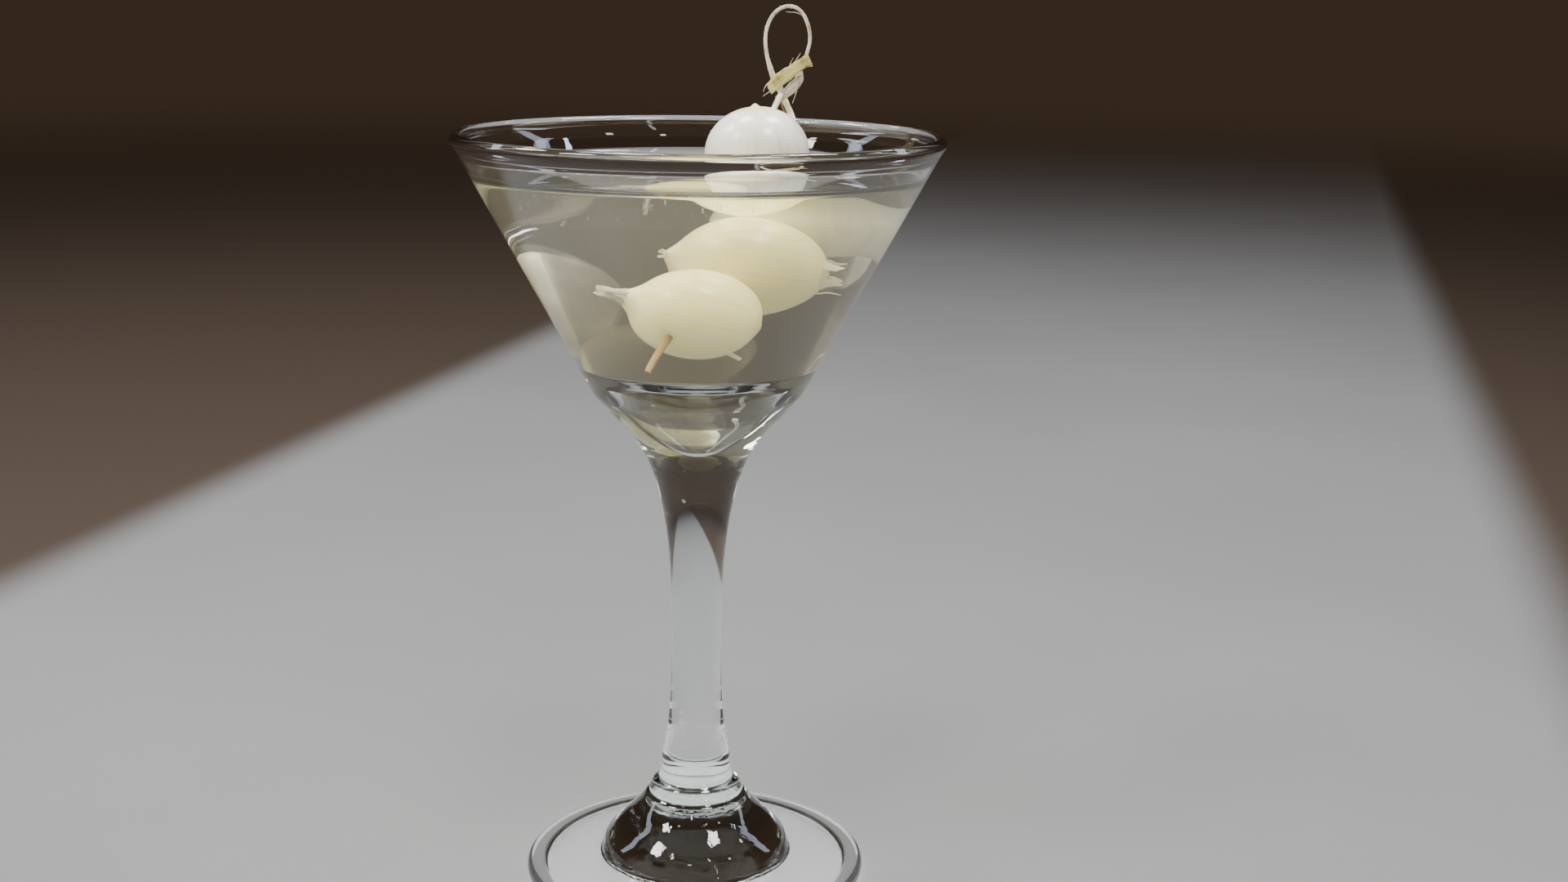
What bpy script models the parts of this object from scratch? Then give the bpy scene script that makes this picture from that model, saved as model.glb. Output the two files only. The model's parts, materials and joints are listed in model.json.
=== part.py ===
"""A stemmed martini glass with a drink in it and three cocktail onions on a knotted bamboo pick.

Metres, +Z up. The glass stands on z = 0 with its axis on Z, and the pick leans towards +Y.
"""

import math
from dataclasses import dataclass

import bpy
from mathutils import Matrix, Vector

MM = 0.001

# Clearance that every touching pair keeps
GAP = 0.3 * MM

# Foot: a flat pressed plate with a bell-shaped rise to the stem
FOOT_RADIUS = 42.0 * MM
FOOT_EDGE_THICKNESS = 3.4 * MM
FOOT_PLATE_RISE = 1.4 * MM
FOOT_HEIGHT = 21.0 * MM
BELL_RADIUS = 23.2 * MM
BELL_EDGE_HEIGHT = 1.3 * MM
REST_RING_WIDTH = 3.0 * MM
RECESS_DEPTH = 2.2 * MM

# Stem: drawn thin at the waist, flared into the foot and into the bowl
STEM_LENGTH = 80.5 * MM
STEM_WAIST_RADIUS = 6.12 * MM
STEM_FOOT_RADIUS = 11.5 * MM
STEM_BOWL_RADIUS = 10.45 * MM
STEM_WAIST_LOW = 36.0 * MM
STEM_WAIST_HIGH = 39.5 * MM
FLARE_POWER = 2.9

# Bowl: a straight cone over a bell-shaped well, with a solid base and a rolled bead at the rim
BOWL_HEIGHT = 81.4 * MM
RIM_RADIUS = 57.5 * MM
BEAD_RADIUS = 1.5 * MM
LIP_BLEND = 1.7
BOWL_WALL = 1.8 * MM
SHOULDER_RADIUS = 25.1 * MM
SHOULDER_HEIGHT = 20.5 * MM
BASE_THICKNESS = 8.2 * MM
WELL_HEIGHT = 19.3 * MM
SHOULDER_BLEND = 1.5 * MM

# Drink: how far its surface lies under the rim
FILL_BELOW_RIM = 8.9 * MM

# Pick: round bamboo, its flat end split, looped and knotted
PICK_RADIUS = 0.8 * MM
PICK_POINT_LENGTH = 1.4 * MM
PICK_POINT_RADIUS = 0.6 * MM
PICK_TIP_HEIGHT = 30.3 * MM
PICK_TIP_AZIMUTH = math.radians(246.2)
PICK_HEADING = math.radians(67.3)
BARE_TIP = 16.2 * MM
BARE_NECK = 9.4 * MM
KNOT_LENGTH = 12.0 * MM
KNOT_WIDTH = 4.2 * MM
KNOT_DEPTH = 3.0 * MM
KNOT_TILT = math.radians(35)
LOOP_STRAND_RADIUS = 0.5 * MM
LOOP_LEAN = 0.2
TAIL_RADIUS = 0.6 * MM

# Onions, from the tip of the pick to its knot
ONION_GAP = 0.5 * MM

# Facets
GLASS_SEGMENTS = 48
ONION_SEGMENTS = 24
ONION_RINGS = 16
PICK_SEGMENTS = 12
WELL_STEPS = 2
CURVE_STEPS = 4

# Heights that follow
STEM_BOTTOM = FOOT_HEIGHT + GAP
STEM_TOP = FOOT_HEIGHT + STEM_LENGTH - GAP
BOWL_BOTTOM = FOOT_HEIGHT + STEM_LENGTH
RIM_HEIGHT = BOWL_BOTTOM + BOWL_HEIGHT
DRINK_LEVEL = RIM_HEIGHT - FILL_BELOW_RIM
BEAD_CENTRE = Vector((RIM_RADIUS - BEAD_RADIUS, RIM_HEIGHT - BEAD_RADIUS))
SHOULDER_Z = BOWL_BOTTOM + SHOULDER_HEIGHT
CONE_SLOPE = (BEAD_CENTRE.x + BEAD_RADIUS - SHOULDER_RADIUS) / (BEAD_CENTRE.y - SHOULDER_Z)
CONE_STRETCH = math.hypot(1, CONE_SLOPE)
FLOOR_Z = BOWL_BOTTOM + BASE_THICKNESS
WELL_Z = FLOOR_Z + WELL_HEIGHT

# Outlines as (share of the growth in radius, share of the height), from their lower or inner end
BOWL_BASE_SHAPE = ((0.0, 0.0), (0.12, 0.205), (0.372, 0.5), (0.747, 0.795), (1.0, 1.0))
WELL_SHAPE = ((0.0, 0.0), (0.11, 0.066), (0.225, 0.25), (0.35, 0.48), (0.48, 0.74), (0.62, 0.9), (0.8, 0.965), (1.0, 1.0))
BELL_SHAPE = ((0.0, 1.0), (0.29, 0.69), (0.64, 0.43), (0.9, 0.2), (1.0, 0.0))


@dataclass(frozen=True)
class Onion:
    """A peeled onion: a flattened or drawn-out ball with a shoot at one pole and a root at the other."""

    name: str
    radius: float
    half_length: float
    shoot: float
    root: float
    off_pick: Vector
    shoot_way: Vector


ONIONS = (
    Onion("onion_lower", 11.6 * MM, 11.8 * MM, 6.5 * MM, 1.2 * MM,
          Vector((1.6, 0.0, 0.0)) * MM, Vector((-0.93, -0.1, 0.3))),
    Onion("onion_middle", 12.7 * MM, 12.2 * MM, 2.2 * MM, 1.6 * MM,
          Vector((1.8, 0.0, -1.0)) * MM, Vector((-0.95, -0.2, 0.22))),
    Onion("onion_top", 12.9 * MM, 11.2 * MM, 1.1 * MM, 0.6 * MM,
          Vector((0.4, -0.5, -1.1)) * MM, Vector((-0.06, -0.12, 1.0))),
)


def clear_scene():
    for obj in list(bpy.data.objects):
        bpy.data.objects.remove(obj, do_unlink=True)


def material(name, colour, roughness, metallic=0.0, transmission=0.0, ior=1.5):
    made = bpy.data.materials.new(name)
    made.use_nodes = True
    shader = made.node_tree.nodes["Principled BSDF"]
    shader.inputs["Base Color"].default_value = (*colour, 1.0)
    shader.inputs["Roughness"].default_value = roughness
    shader.inputs["Metallic"].default_value = metallic
    shader.inputs["Transmission Weight"].default_value = transmission
    shader.inputs["IOR"].default_value = ior
    return made


def add_object(name, data, coat):
    obj = bpy.data.objects.new(name, data)
    if coat:
        data.materials.append(coat)
    bpy.context.scene.collection.objects.link(obj)
    return obj


def as_cutter(obj):
    obj.hide_render = True
    obj.display_type = "WIRE"
    return obj


def cut(obj, cutter):
    boolean = obj.modifiers.new("cut_" + cutter.name, "BOOLEAN")
    boolean.operation = "DIFFERENCE"
    boolean.object = cutter


def arc(centre, radius, start, end, steps):
    """Points on a circle in the (radius, height) plane, from one angle to another in degrees."""
    turns = (math.radians(start + (end - start) * i / steps) for i in range(steps + 1))
    return [(centre[0] + radius * math.cos(a), centre[1] + radius * math.sin(a)) for a in turns]


def smooth(points, steps=CURVE_STEPS):
    """A Catmull-Rom curve through the points."""
    keys = [Vector(p) for p in points]
    keys = [2 * keys[0] - keys[1], *keys, 2 * keys[-1] - keys[-2]]
    curve = []
    for a, b, c, d in zip(keys, keys[1:], keys[2:], keys[3:]):
        for i in range(steps):
            t = i / steps
            curve.append(
                0.5 * (2 * b + (c - a) * t + (2 * a - 5 * b + 4 * c - d) * t**2
                       + (3 * b - a - 3 * c + d) * t**3)
            )
    curve.append(keys[-2])
    return [tuple(p) for p in curve]


def lathe(name, outline, coat, segments, place=Matrix.Identity(4)):
    """Turns an outline round Z. Both its ends lie on the axis, and it runs down its outer side."""
    ring_of = [(math.cos(a), math.sin(a)) for a in (math.tau * j / segments for j in range(segments))]
    points = [Vector((0, 0, outline[0][1]))]
    for radius, z in outline[1:-1]:
        points += [Vector((radius * x, radius * y, z)) for x, y in ring_of]
    points.append(Vector((0, 0, outline[-1][1])))
    last, rings = len(points) - 1, len(outline) - 2
    faces = []
    for j in range(segments):
        k = (j + 1) % segments
        faces.append((0, 1 + j, 1 + k))
        for i in range(rings - 1):
            upper, lower = 1 + i * segments, 1 + (i + 1) * segments
            faces.append((upper + j, lower + j, lower + k, upper + k))
        end = 1 + (rings - 1) * segments
        faces.append((last, end + k, end + j))
    mesh = bpy.data.meshes.new(name)
    mesh.from_pydata([place @ p for p in points], [], faces)
    mesh.shade_smooth()
    mesh.set_sharp_from_angle(angle=math.radians(35))
    return add_object(name, mesh, coat)


def strand(name, route, radius, coat):
    """A bamboo strand along a smooth curve through the route's points."""
    curve = bpy.data.curves.new(name, "CURVE")
    curve.dimensions = "3D"
    curve.bevel_depth = radius
    curve.bevel_resolution = 2
    curve.use_fill_caps = True
    points = smooth(route, 3)
    spline = curve.splines.new("POLY")
    spline.points.add(len(points) - 1)
    for point, place in zip(spline.points, points):
        point.co = (*place, 1.0)
    spline.use_smooth = True
    return add_object(name, curve, coat)


def cone_radius(z):
    """The bowl's outer radius on its straight wall."""
    return SHOULDER_RADIUS + CONE_SLOPE * (z - SHOULDER_Z)


def cavity_radius(z):
    return cone_radius(z) - BOWL_WALL * CONE_STRETCH


def cavity_outline(inset):
    """The bowl's hollow, from its lowest point to the start of its straight wall, drawn in by an inset."""
    edge, draw_in = cavity_radius(WELL_Z), inset * CONE_STRETCH
    well = smooth([(edge * r, FLOOR_Z + WELL_HEIGHT * h) for r, h in WELL_SHAPE], WELL_STEPS)
    outline = [(0.0, FLOOR_Z + inset)]
    for behind, (radius, z), ahead in zip(well, well[1:], [*well[2:], well[-1]]):
        along = (Vector(ahead) - Vector(behind)).normalized()
        z += inset * along.x
        outline.append((min(radius - inset * along.y, cavity_radius(z) - draw_in), z))
    wall_z = WELL_Z + inset + SHOULDER_BLEND
    return [*outline, (cavity_radius(wall_z) - draw_in, wall_z)]


def bowl():
    lip = arc(BEAD_CENTRE, BEAD_RADIUS, 210, -30, 16)
    under_lip = BEAD_CENTRE.y - LIP_BLEND * BEAD_RADIUS
    base = [
        (STEM_BOWL_RADIUS + (SHOULDER_RADIUS - STEM_BOWL_RADIUS) * r, BOWL_BOTTOM + SHOULDER_HEIGHT * h)
        for r, h in BOWL_BASE_SHAPE
    ]
    outline = [*cavity_outline(0.0), (cavity_radius(under_lip), under_lip), *lip]
    outline.append((cone_radius(under_lip), under_lip))
    outline += [*reversed(smooth(base)), (0.0, BOWL_BOTTOM)]
    return lathe("bowl", outline, GLASS, GLASS_SEGMENTS)


def stem_radius(height):
    """The stem's radius at a height over its lower end."""
    if height < STEM_WAIST_LOW:
        share = 1 - height / STEM_WAIST_LOW
        return STEM_WAIST_RADIUS + (STEM_FOOT_RADIUS - STEM_WAIST_RADIUS) * share**FLARE_POWER
    share = max(0.0, (height - STEM_WAIST_HIGH) / (STEM_LENGTH - STEM_WAIST_HIGH))
    return STEM_WAIST_RADIUS + (STEM_BOWL_RADIUS - STEM_WAIST_RADIUS) * share**FLARE_POWER


def stem():
    steps = 22
    heights = [STEM_TOP + (STEM_BOTTOM - STEM_TOP) * i / steps for i in range(steps + 1)]
    side = [(stem_radius(z - FOOT_HEIGHT), z) for z in heights]
    return lathe("stem", [(0.0, STEM_TOP), *side, (0.0, STEM_BOTTOM)], GLASS, GLASS_SEGMENTS // 2)


def foot():
    plate_z = FOOT_EDGE_THICKNESS + FOOT_PLATE_RISE
    bell_low = plate_z + BELL_EDGE_HEIGHT
    bell = [
        (STEM_FOOT_RADIUS + (BELL_RADIUS - STEM_FOOT_RADIUS) * r, bell_low + (FOOT_HEIGHT - bell_low) * h)
        for r, h in BELL_SHAPE
    ]
    edge = FOOT_EDGE_THICKNESS / 2
    rim = arc((FOOT_RADIUS - edge, edge), edge, 80, -60, 7)
    ring_outer = FOOT_RADIUS - edge
    ring_inner = ring_outer - REST_RING_WIDTH
    recess = [
        (ring_inner * math.cos(a), RECESS_DEPTH * math.sin(a))
        for a in (math.pi / 2 * i / 6 for i in range(6))
    ]
    outline = [(0.0, FOOT_HEIGHT), *smooth(bell), (BELL_RADIUS + BELL_EDGE_HEIGHT, plate_z)]
    outline += [*rim, (ring_outer, 0.0), *recess, (0.0, RECESS_DEPTH)]
    return lathe("foot", outline, GLASS, GLASS_SEGMENTS)


def drink(cutters):
    top_radius = cavity_radius(DRINK_LEVEL) - GAP * CONE_STRETCH
    rising = [*cavity_outline(GAP), (top_radius, DRINK_LEVEL)]
    made = lathe("drink", [(0.0, DRINK_LEVEL), *reversed(rising)], DRINK, GLASS_SEGMENTS)
    for cutter in cutters:
        cut(made, cutter)
    return made


def glass_clearance(point):
    """How far a point keeps from the bowl's inner wall or from its bead."""
    radius = math.hypot(point.x, point.y)
    bead = (Vector((radius, point.z)) - BEAD_CENTRE).length - BEAD_RADIUS
    if point.z > BEAD_CENTRE.y:
        return bead
    return min(bead, (cavity_radius(point.z) - radius) / CONE_STRETCH)


def stack_places():
    """Each onion's distance from the tip of the pick, one after another."""
    places, along = {}, BARE_TIP
    for onion in ONIONS:
        places[onion.name] = along + onion.radius
        along += 2 * onion.radius + ONION_GAP
    return places, along - ONION_GAP


ALONG_PICK, STACK_END = stack_places()
SHAFT_LENGTH = STACK_END + BARE_NECK


def pick_way(elevation):
    level = math.cos(elevation)
    return Vector((level * math.cos(PICK_HEADING), level * math.sin(PICK_HEADING), math.sin(elevation)))


def tip_place():
    """The tip rests on the bowl's wall, its own radius and a gap away from it."""
    z = BOWL_BOTTOM + PICK_TIP_HEIGHT
    radius = cavity_radius(z) - (PICK_RADIUS + GAP) * CONE_STRETCH
    return Vector((radius * math.cos(PICK_TIP_AZIMUTH), radius * math.sin(PICK_TIP_AZIMUTH), z))


KNOT_ALONG = Vector((math.cos(KNOT_TILT), 0.0, math.sin(KNOT_TILT)))
KNOT_ACROSS = Vector((-math.sin(KNOT_TILT), 0.0, math.cos(KNOT_TILT)))


def knot_centre(shaft_end):
    return shaft_end + KNOT_ACROSS * (KNOT_WIDTH / 2 + GAP + PICK_RADIUS) + KNOT_ALONG * (0.4 * KNOT_LENGTH)


def tail_route(centre):
    """The split end hangs from the knot's under side, towards the bowl."""
    start = centre - KNOT_ACROSS * (KNOT_WIDTH / 2 + GAP + TAIL_RADIUS) - KNOT_ALONG * (0.18 * KNOT_LENGTH)
    return [start, start + Vector((0.6, -2.0, -3.7)) * MM, start + Vector((1.3, -4.8, -7.9)) * MM]


def clears_glass(elevation):
    """Whether the top onion, the knot and its tail all stand clear of the glass at this lean."""
    way = pick_way(elevation)
    top = ONIONS[-1]
    onion = TIP + way * ALONG_PICK[top.name] + top.off_pick
    centre = knot_centre(TIP + way * SHAFT_LENGTH)
    tail = tail_route(centre)[-1]
    return (
        glass_clearance(onion) > top.radius + GAP
        and glass_clearance(centre) > KNOT_WIDTH
        and glass_clearance(tail) > TAIL_RADIUS + GAP
    )


def lean():
    """The pick leans back until its top onion, its knot or its tail comes to rest on the bowl."""
    low, high = math.radians(15), math.radians(88)
    for _ in range(40):
        middle = (low + high) / 2
        if clears_glass(middle):
            high = middle
        else:
            low = middle
    return high


TIP = tip_place()
PICK_WAY = pick_way(lean())
SHAFT_END = TIP + PICK_WAY * SHAFT_LENGTH
PICK_FRAME = Matrix.Translation(TIP) @ PICK_WAY.to_track_quat("Z", "Y").to_matrix().to_4x4()


def pick_bore():
    """The space that the shaft takes, with its clearance: it is cut from the onions and from the drink."""
    outline = [(0.0, SHAFT_LENGTH), (PICK_RADIUS + GAP, SHAFT_LENGTH), (PICK_RADIUS + GAP, -GAP), (0.0, -GAP)]
    return as_cutter(lathe("pick_bore", outline, None, PICK_SEGMENTS, PICK_FRAME))


def pick_shaft():
    outline = [
        (0.0, SHAFT_LENGTH),
        (PICK_RADIUS, SHAFT_LENGTH),
        (PICK_RADIUS, PICK_POINT_LENGTH),
        (PICK_POINT_RADIUS, 0.0),
        (0.0, 0.0),
    ]
    return lathe("pick_shaft", outline, BAMBOO, PICK_SEGMENTS, PICK_FRAME)


def knot_block(name, growth, coat):
    centre = knot_centre(SHAFT_END)
    turn = Matrix((KNOT_ALONG, KNOT_ACROSS.cross(KNOT_ALONG), KNOT_ACROSS)).transposed().to_4x4()
    half = Vector((KNOT_LENGTH, KNOT_DEPTH, KNOT_WIDTH)) / 2 + Vector((growth, growth, growth))
    signs = [(x, y, z) for z in (-1, 1) for x, y in ((-1, -1), (1, -1), (1, 1), (-1, 1))]
    corners = [turn @ Vector((x * half.x, y * half.y, z * half.z)) + centre for x, y, z in signs]
    faces = [(3, 2, 1, 0), (4, 5, 6, 7), (0, 1, 5, 4), (1, 2, 6, 5), (2, 3, 7, 6), (3, 0, 4, 7)]
    mesh = bpy.data.meshes.new(name)
    mesh.from_pydata(corners, [], faces)
    return add_object(name, mesh, coat)


def pick_knot():
    made = knot_block("pick_knot", 0.0, BAMBOO)
    bevel = made.modifiers.new("rounded", "BEVEL")
    bevel.width = KNOT_DEPTH / 4
    bevel.segments = 2
    return made


def pick_loop():
    """The loop rises out of the knot, leans back a little, and comes down again on the knot's far end."""
    centre = knot_centre(SHAFT_END)
    over = KNOT_WIDTH / 2 + 2 * GAP + LOOP_STRAND_RADIUS
    left = centre + KNOT_ACROSS * over - KNOT_ALONG * (0.28 * KNOT_LENGTH)
    right = centre + KNOT_ACROSS * over + KNOT_ALONG * (0.36 * KNOT_LENGTH)
    middle_x = (left.x + right.x) / 2
    outline = ((-5.4, 12.6), (-4.1, 17.0), (-0.6, 19.6), (3.0, 18.6), (5.6, 14.4), (5.7, 10.0))
    bend = [Vector((middle_x + x * MM, 0.0, left.z + (z - 4.2) * MM)) for x, z in outline]
    route = [left, Vector((middle_x - 5.3 * MM, 0.0, left.z + 3.9 * MM)), *bend, right]
    for point in route:
        point.y = centre.y + LOOP_LEAN * (point.z - centre.z)
    return strand("pick_loop", route, LOOP_STRAND_RADIUS, BAMBOO)


def pick_tail():
    return strand("pick_tail", tail_route(knot_centre(SHAFT_END)), TAIL_RADIUS, BAMBOO)


def tail_room():
    """The space round the tail, as a mesh that can cut the drink."""
    route = tail_route(knot_centre(SHAFT_END))
    route[-1] = route[-1] + (route[-1] - route[-2]).normalized() * GAP
    curve = strand("tail_curve", route, TAIL_RADIUS + GAP, None)
    mesh = bpy.data.meshes.new_from_object(curve)
    bpy.data.objects.remove(curve)
    return as_cutter(add_object("tail_room", mesh, None))


def onion_frame(onion):
    """Turns the onion's axis to its shoot's way, with the origin on the pick's axis."""
    turn = onion.shoot_way.normalized().to_track_quat("Z", "Y").to_matrix().to_4x4()
    return Matrix.Translation(onion.off_pick) @ turn


def onion_outline(onion, growth):
    """Pole to pole, with the shoot and the root drawn out at the poles."""
    outline = []
    for i in range(ONION_RINGS + 1):
        turn = math.pi * i / ONION_RINGS
        end, drawn, power = (onion.shoot, 1, 36) if turn < math.pi / 2 else (onion.root, -1, 60)
        height = (onion.half_length + growth) * math.cos(turn) + drawn * end * abs(math.cos(turn)) ** power
        outline.append(((onion.radius + growth) * math.sin(turn), height))
    outline[0] = (0.0, outline[0][1])
    outline[-1] = (0.0, outline[-1][1])
    return outline


def onion_place(onion):
    return TIP + PICK_WAY * ALONG_PICK[onion.name]


def skewered_onion(onion, bore):
    made = lathe(onion.name, onion_outline(onion, 0.0), ONION, ONION_SEGMENTS, onion_frame(onion))
    made.location = onion_place(onion)
    cut(made, bore)
    return made


def onion_room(onion):
    """The room that the drink leaves round an onion."""
    name = "room_" + onion.name
    made = lathe(name, onion_outline(onion, GAP), None, ONION_SEGMENTS, onion_frame(onion))
    made.location = onion_place(onion)
    return as_cutter(made)


def main():
    bowl()
    stem()
    foot()
    bore = pick_bore()
    for onion in ONIONS:
        skewered_onion(onion, bore)
    # The knot and its tail only reach the drink where the bowl is deeper or fuller
    knot_room = as_cutter(knot_block("knot_room", GAP, None))
    drink([bore, *(onion_room(onion) for onion in ONIONS), knot_room, tail_room()])
    pick_shaft()
    pick_knot()
    pick_loop()
    pick_tail()


clear_scene()
GLASS = material("clear_glass", (0.93, 0.95, 0.94), 0.02, transmission=1.0, ior=1.5)
DRINK = material("straw_drink", (0.9, 0.9, 0.74), 0.0, transmission=1.0, ior=1.36)
ONION = material("pickled_onion", (0.83, 0.79, 0.62), 0.3)
BAMBOO = material("bamboo", (0.68, 0.6, 0.38), 0.55)
main()
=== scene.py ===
"""A stemmed martini glass with its drink and three cocktail onions on a knotted bamboo pick.

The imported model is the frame: places and overall sizes come from its nodes. Metres, +Z up.
Each operator makes one piece or a group of like pieces, and one makes the stage.
"""

import json
import math
import random

import bmesh
import bpy
from bpy.props import FloatProperty, FloatVectorProperty, IntProperty, PointerProperty
from mathutils import Matrix, Vector, noise


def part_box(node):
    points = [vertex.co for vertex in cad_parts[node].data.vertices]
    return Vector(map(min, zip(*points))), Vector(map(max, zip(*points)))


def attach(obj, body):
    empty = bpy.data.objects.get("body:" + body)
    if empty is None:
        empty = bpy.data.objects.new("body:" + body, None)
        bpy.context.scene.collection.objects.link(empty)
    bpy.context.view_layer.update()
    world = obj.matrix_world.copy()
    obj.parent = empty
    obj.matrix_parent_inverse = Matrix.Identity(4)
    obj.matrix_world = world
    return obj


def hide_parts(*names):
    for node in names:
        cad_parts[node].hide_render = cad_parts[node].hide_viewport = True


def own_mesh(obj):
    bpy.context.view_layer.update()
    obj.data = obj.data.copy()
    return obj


bl_info = {
    "name": "Martini glass with cocktail onions",
    "version": (1, 0, 0),
    "blender": (4, 5, 0),
    "location": "3D Viewport > Sidebar > Martini",
    "description": "Makes a martini glass, its drink and three onions on a knotted pick",
    "category": "Object",
}

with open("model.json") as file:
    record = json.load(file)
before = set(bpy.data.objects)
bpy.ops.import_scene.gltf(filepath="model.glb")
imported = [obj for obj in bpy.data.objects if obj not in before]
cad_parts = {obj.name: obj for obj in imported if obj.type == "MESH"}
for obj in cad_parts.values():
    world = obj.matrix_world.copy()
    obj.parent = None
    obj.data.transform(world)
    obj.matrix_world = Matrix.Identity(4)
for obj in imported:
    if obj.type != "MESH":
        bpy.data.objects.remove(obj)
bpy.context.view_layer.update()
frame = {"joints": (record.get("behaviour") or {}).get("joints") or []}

MM = 0.001
BOWL_LOW, BOWL_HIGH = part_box("bowl")
STEM_LOW, STEM_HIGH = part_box("stem")
FOOT_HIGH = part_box("foot")[1]
DRINK_LOW, DRINK_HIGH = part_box("drink")
SHAFT_LOW, SHAFT_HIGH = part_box("pick_shaft")
SLIDE = next(j for j in frame["joints"] if j["name"] == "onion_top_slide")
PICK_WAY = -Vector(SLIDE["axis"]).normalized()

# Outlines as (share of the growth in radius, share of the height), from their lower or inner end
BOWL_BASE_SHAPE = ((0.0, 0.0), (0.12, 0.205), (0.372, 0.5), (0.747, 0.795), (1.0, 1.0))
WELL_SHAPE = (
    (0.0, 0.0),
    (0.11, 0.066),
    (0.225, 0.25),
    (0.35, 0.48),
    (0.48, 0.74),
    (0.62, 0.9),
    (0.8, 0.965),
    (1.0, 1.0),
)
BELL_SHAPE = ((0.0, 1.0), (0.29, 0.69), (0.64, 0.43), (0.9, 0.2), (1.0, 0.0))

# How near the axis a turned outline starts and ends, and how many sides a turned piece has
AXIS_GAP = 0.3 * MM
TURNED_SIDES = 192

ONION_NAMES = ("onion_lower", "onion_middle", "onion_top")

# An onion's grain is that of a ball of this radius, in millimetres
GRAIN_BALL = 10.0

# Faces that meet at more than this keep a sharp edge
SHARP = math.radians(50)


def length(name, description, default):
    return FloatProperty(name=name, description=description, default=default, min=0.0, unit="LENGTH")


def amount(name, description, default, **more):
    return FloatProperty(name=name, description=description, default=default, min=0.0, **more)


def colour(name, description, hex_value):
    return FloatVectorProperty(
        name=name,
        description=description,
        default=linear(hex_value),
        size=3,
        min=0.0,
        max=1.0,
        subtype="COLOR",
    )


def linear(hex_value):
    """An sRGB hex colour as linear red, green and blue."""
    shares = (int(hex_value[i : i + 2], 16) / 255 for i in (1, 3, 5))
    return tuple(s / 12.92 if s <= 0.04045 else ((s + 0.055) / 1.055) ** 2.4 for s in shares)


class GlassSizes(bpy.types.PropertyGroup):
    """The pressed and drawn glass."""

    rim_radius: length("Rim radius", "Outer radius over the bead", BOWL_HIGH.x)
    rim_height: length("Rim height", "Top of the bead over the table", BOWL_HIGH.z)
    bead_radius: length("Bead radius", "Round of the fire-polished bead at the rim", 1.5 * MM)
    lip_blend: length("Lip blend", "Height under the bead over which the wall runs into it", 2.6 * MM)
    wall: length("Wall", "Thickness of the bowl's straight wall", 1.8 * MM)
    shoulder_radius: length("Shoulder radius", "Outer radius where the straight wall starts", 25.1 * MM)
    shoulder_height: length("Shoulder height", "From the foot of the bowl to its straight wall", 20.5 * MM)
    base_thickness: length("Base thickness", "Solid glass under the hollow", 8.2 * MM)
    well_height: length("Well height", "Height of the bell-shaped well in the base", 19.3 * MM)
    well_round: length("Well round", "Height over which the well turns into the cone", 0.9 * MM)
    stem_bowl_radius: length("Stem radius at the bowl", "Where the stem meets the bowl", 10.45 * MM)
    stem_waist_radius: length("Stem waist radius", "At its thinnest", 6.12 * MM)
    stem_foot_radius: length("Stem radius at the foot", "Where the stem meets the foot", 11.5 * MM)
    stem_waist_low: length("Lower flare", "Height of the stem's lower flare", 36.0 * MM)
    stem_waist_high: length("Upper flare start", "Where the stem's upper flare starts", 39.5 * MM)
    stem_flare: amount("Flare", "Power with which the stem widens towards both its ends", 2.9)
    ledge_height: length("Ledge height", "From the top of the foot to the ledge in the stem", 3.4 * MM)
    ledge_depth: length("Ledge depth", "How far the ledge is pressed in", 1.1 * MM)
    ledge_reach: length("Ledge reach", "Height of the ledge's sharp lower side", 1.1 * MM)
    groove_drop: length("Groove drop", "From the top of the foot down to the fine groove", 0.6 * MM)
    groove_reach: length("Groove reach", "Half the height of the fine groove", 0.45 * MM)
    foot_radius: length("Foot radius", "Outer radius of the foot", FOOT_HIGH.x)
    foot_edge: length("Foot edge", "Thickness of the foot at its edge", 3.4 * MM)
    foot_rise: length("Foot rise", "How far the foot's plate rises towards the bell", 1.4 * MM)
    bell_radius: length("Bell radius", "Radius of the bell on the foot", 23.2 * MM)
    bell_edge: length("Bell edge", "Step from the bell to the plate", 1.3 * MM)
    ring_width: length("Resting ring", "Width of the ring that the glass rests on", 3.0 * MM)
    recess: length("Recess", "Depth of the hollow under the foot", 2.2 * MM)
    tint: colour("Tint", "Glass colour through a long way of glass", "#C4E6DA")
    density: amount("Density", "Absorption per metre", 6.0)


class DrinkSizes(bpy.types.PropertyGroup):
    """The drink in the bowl."""

    level: length("Level", "Height of the flat surface over the table", DRINK_HIGH.z - 0.4 * MM)
    rise: length("Meniscus rise", "How far the drink climbs the wall", 1.5 * MM)
    reach: length("Meniscus reach", "How far from the wall the climb starts", 1.1 * MM)
    overlap: length("Overlap", "How far the drink reaches into the wall, so that no air shows", 0.1 * MM)
    tint: colour("Tint", "Drink colour through a long way of drink", "#F3EDB8")
    density: amount("Density", "Absorption per metre", 10.0)
    haze: amount("Haze", "Scattering per metre by the brine and oils", 2.2)


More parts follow.
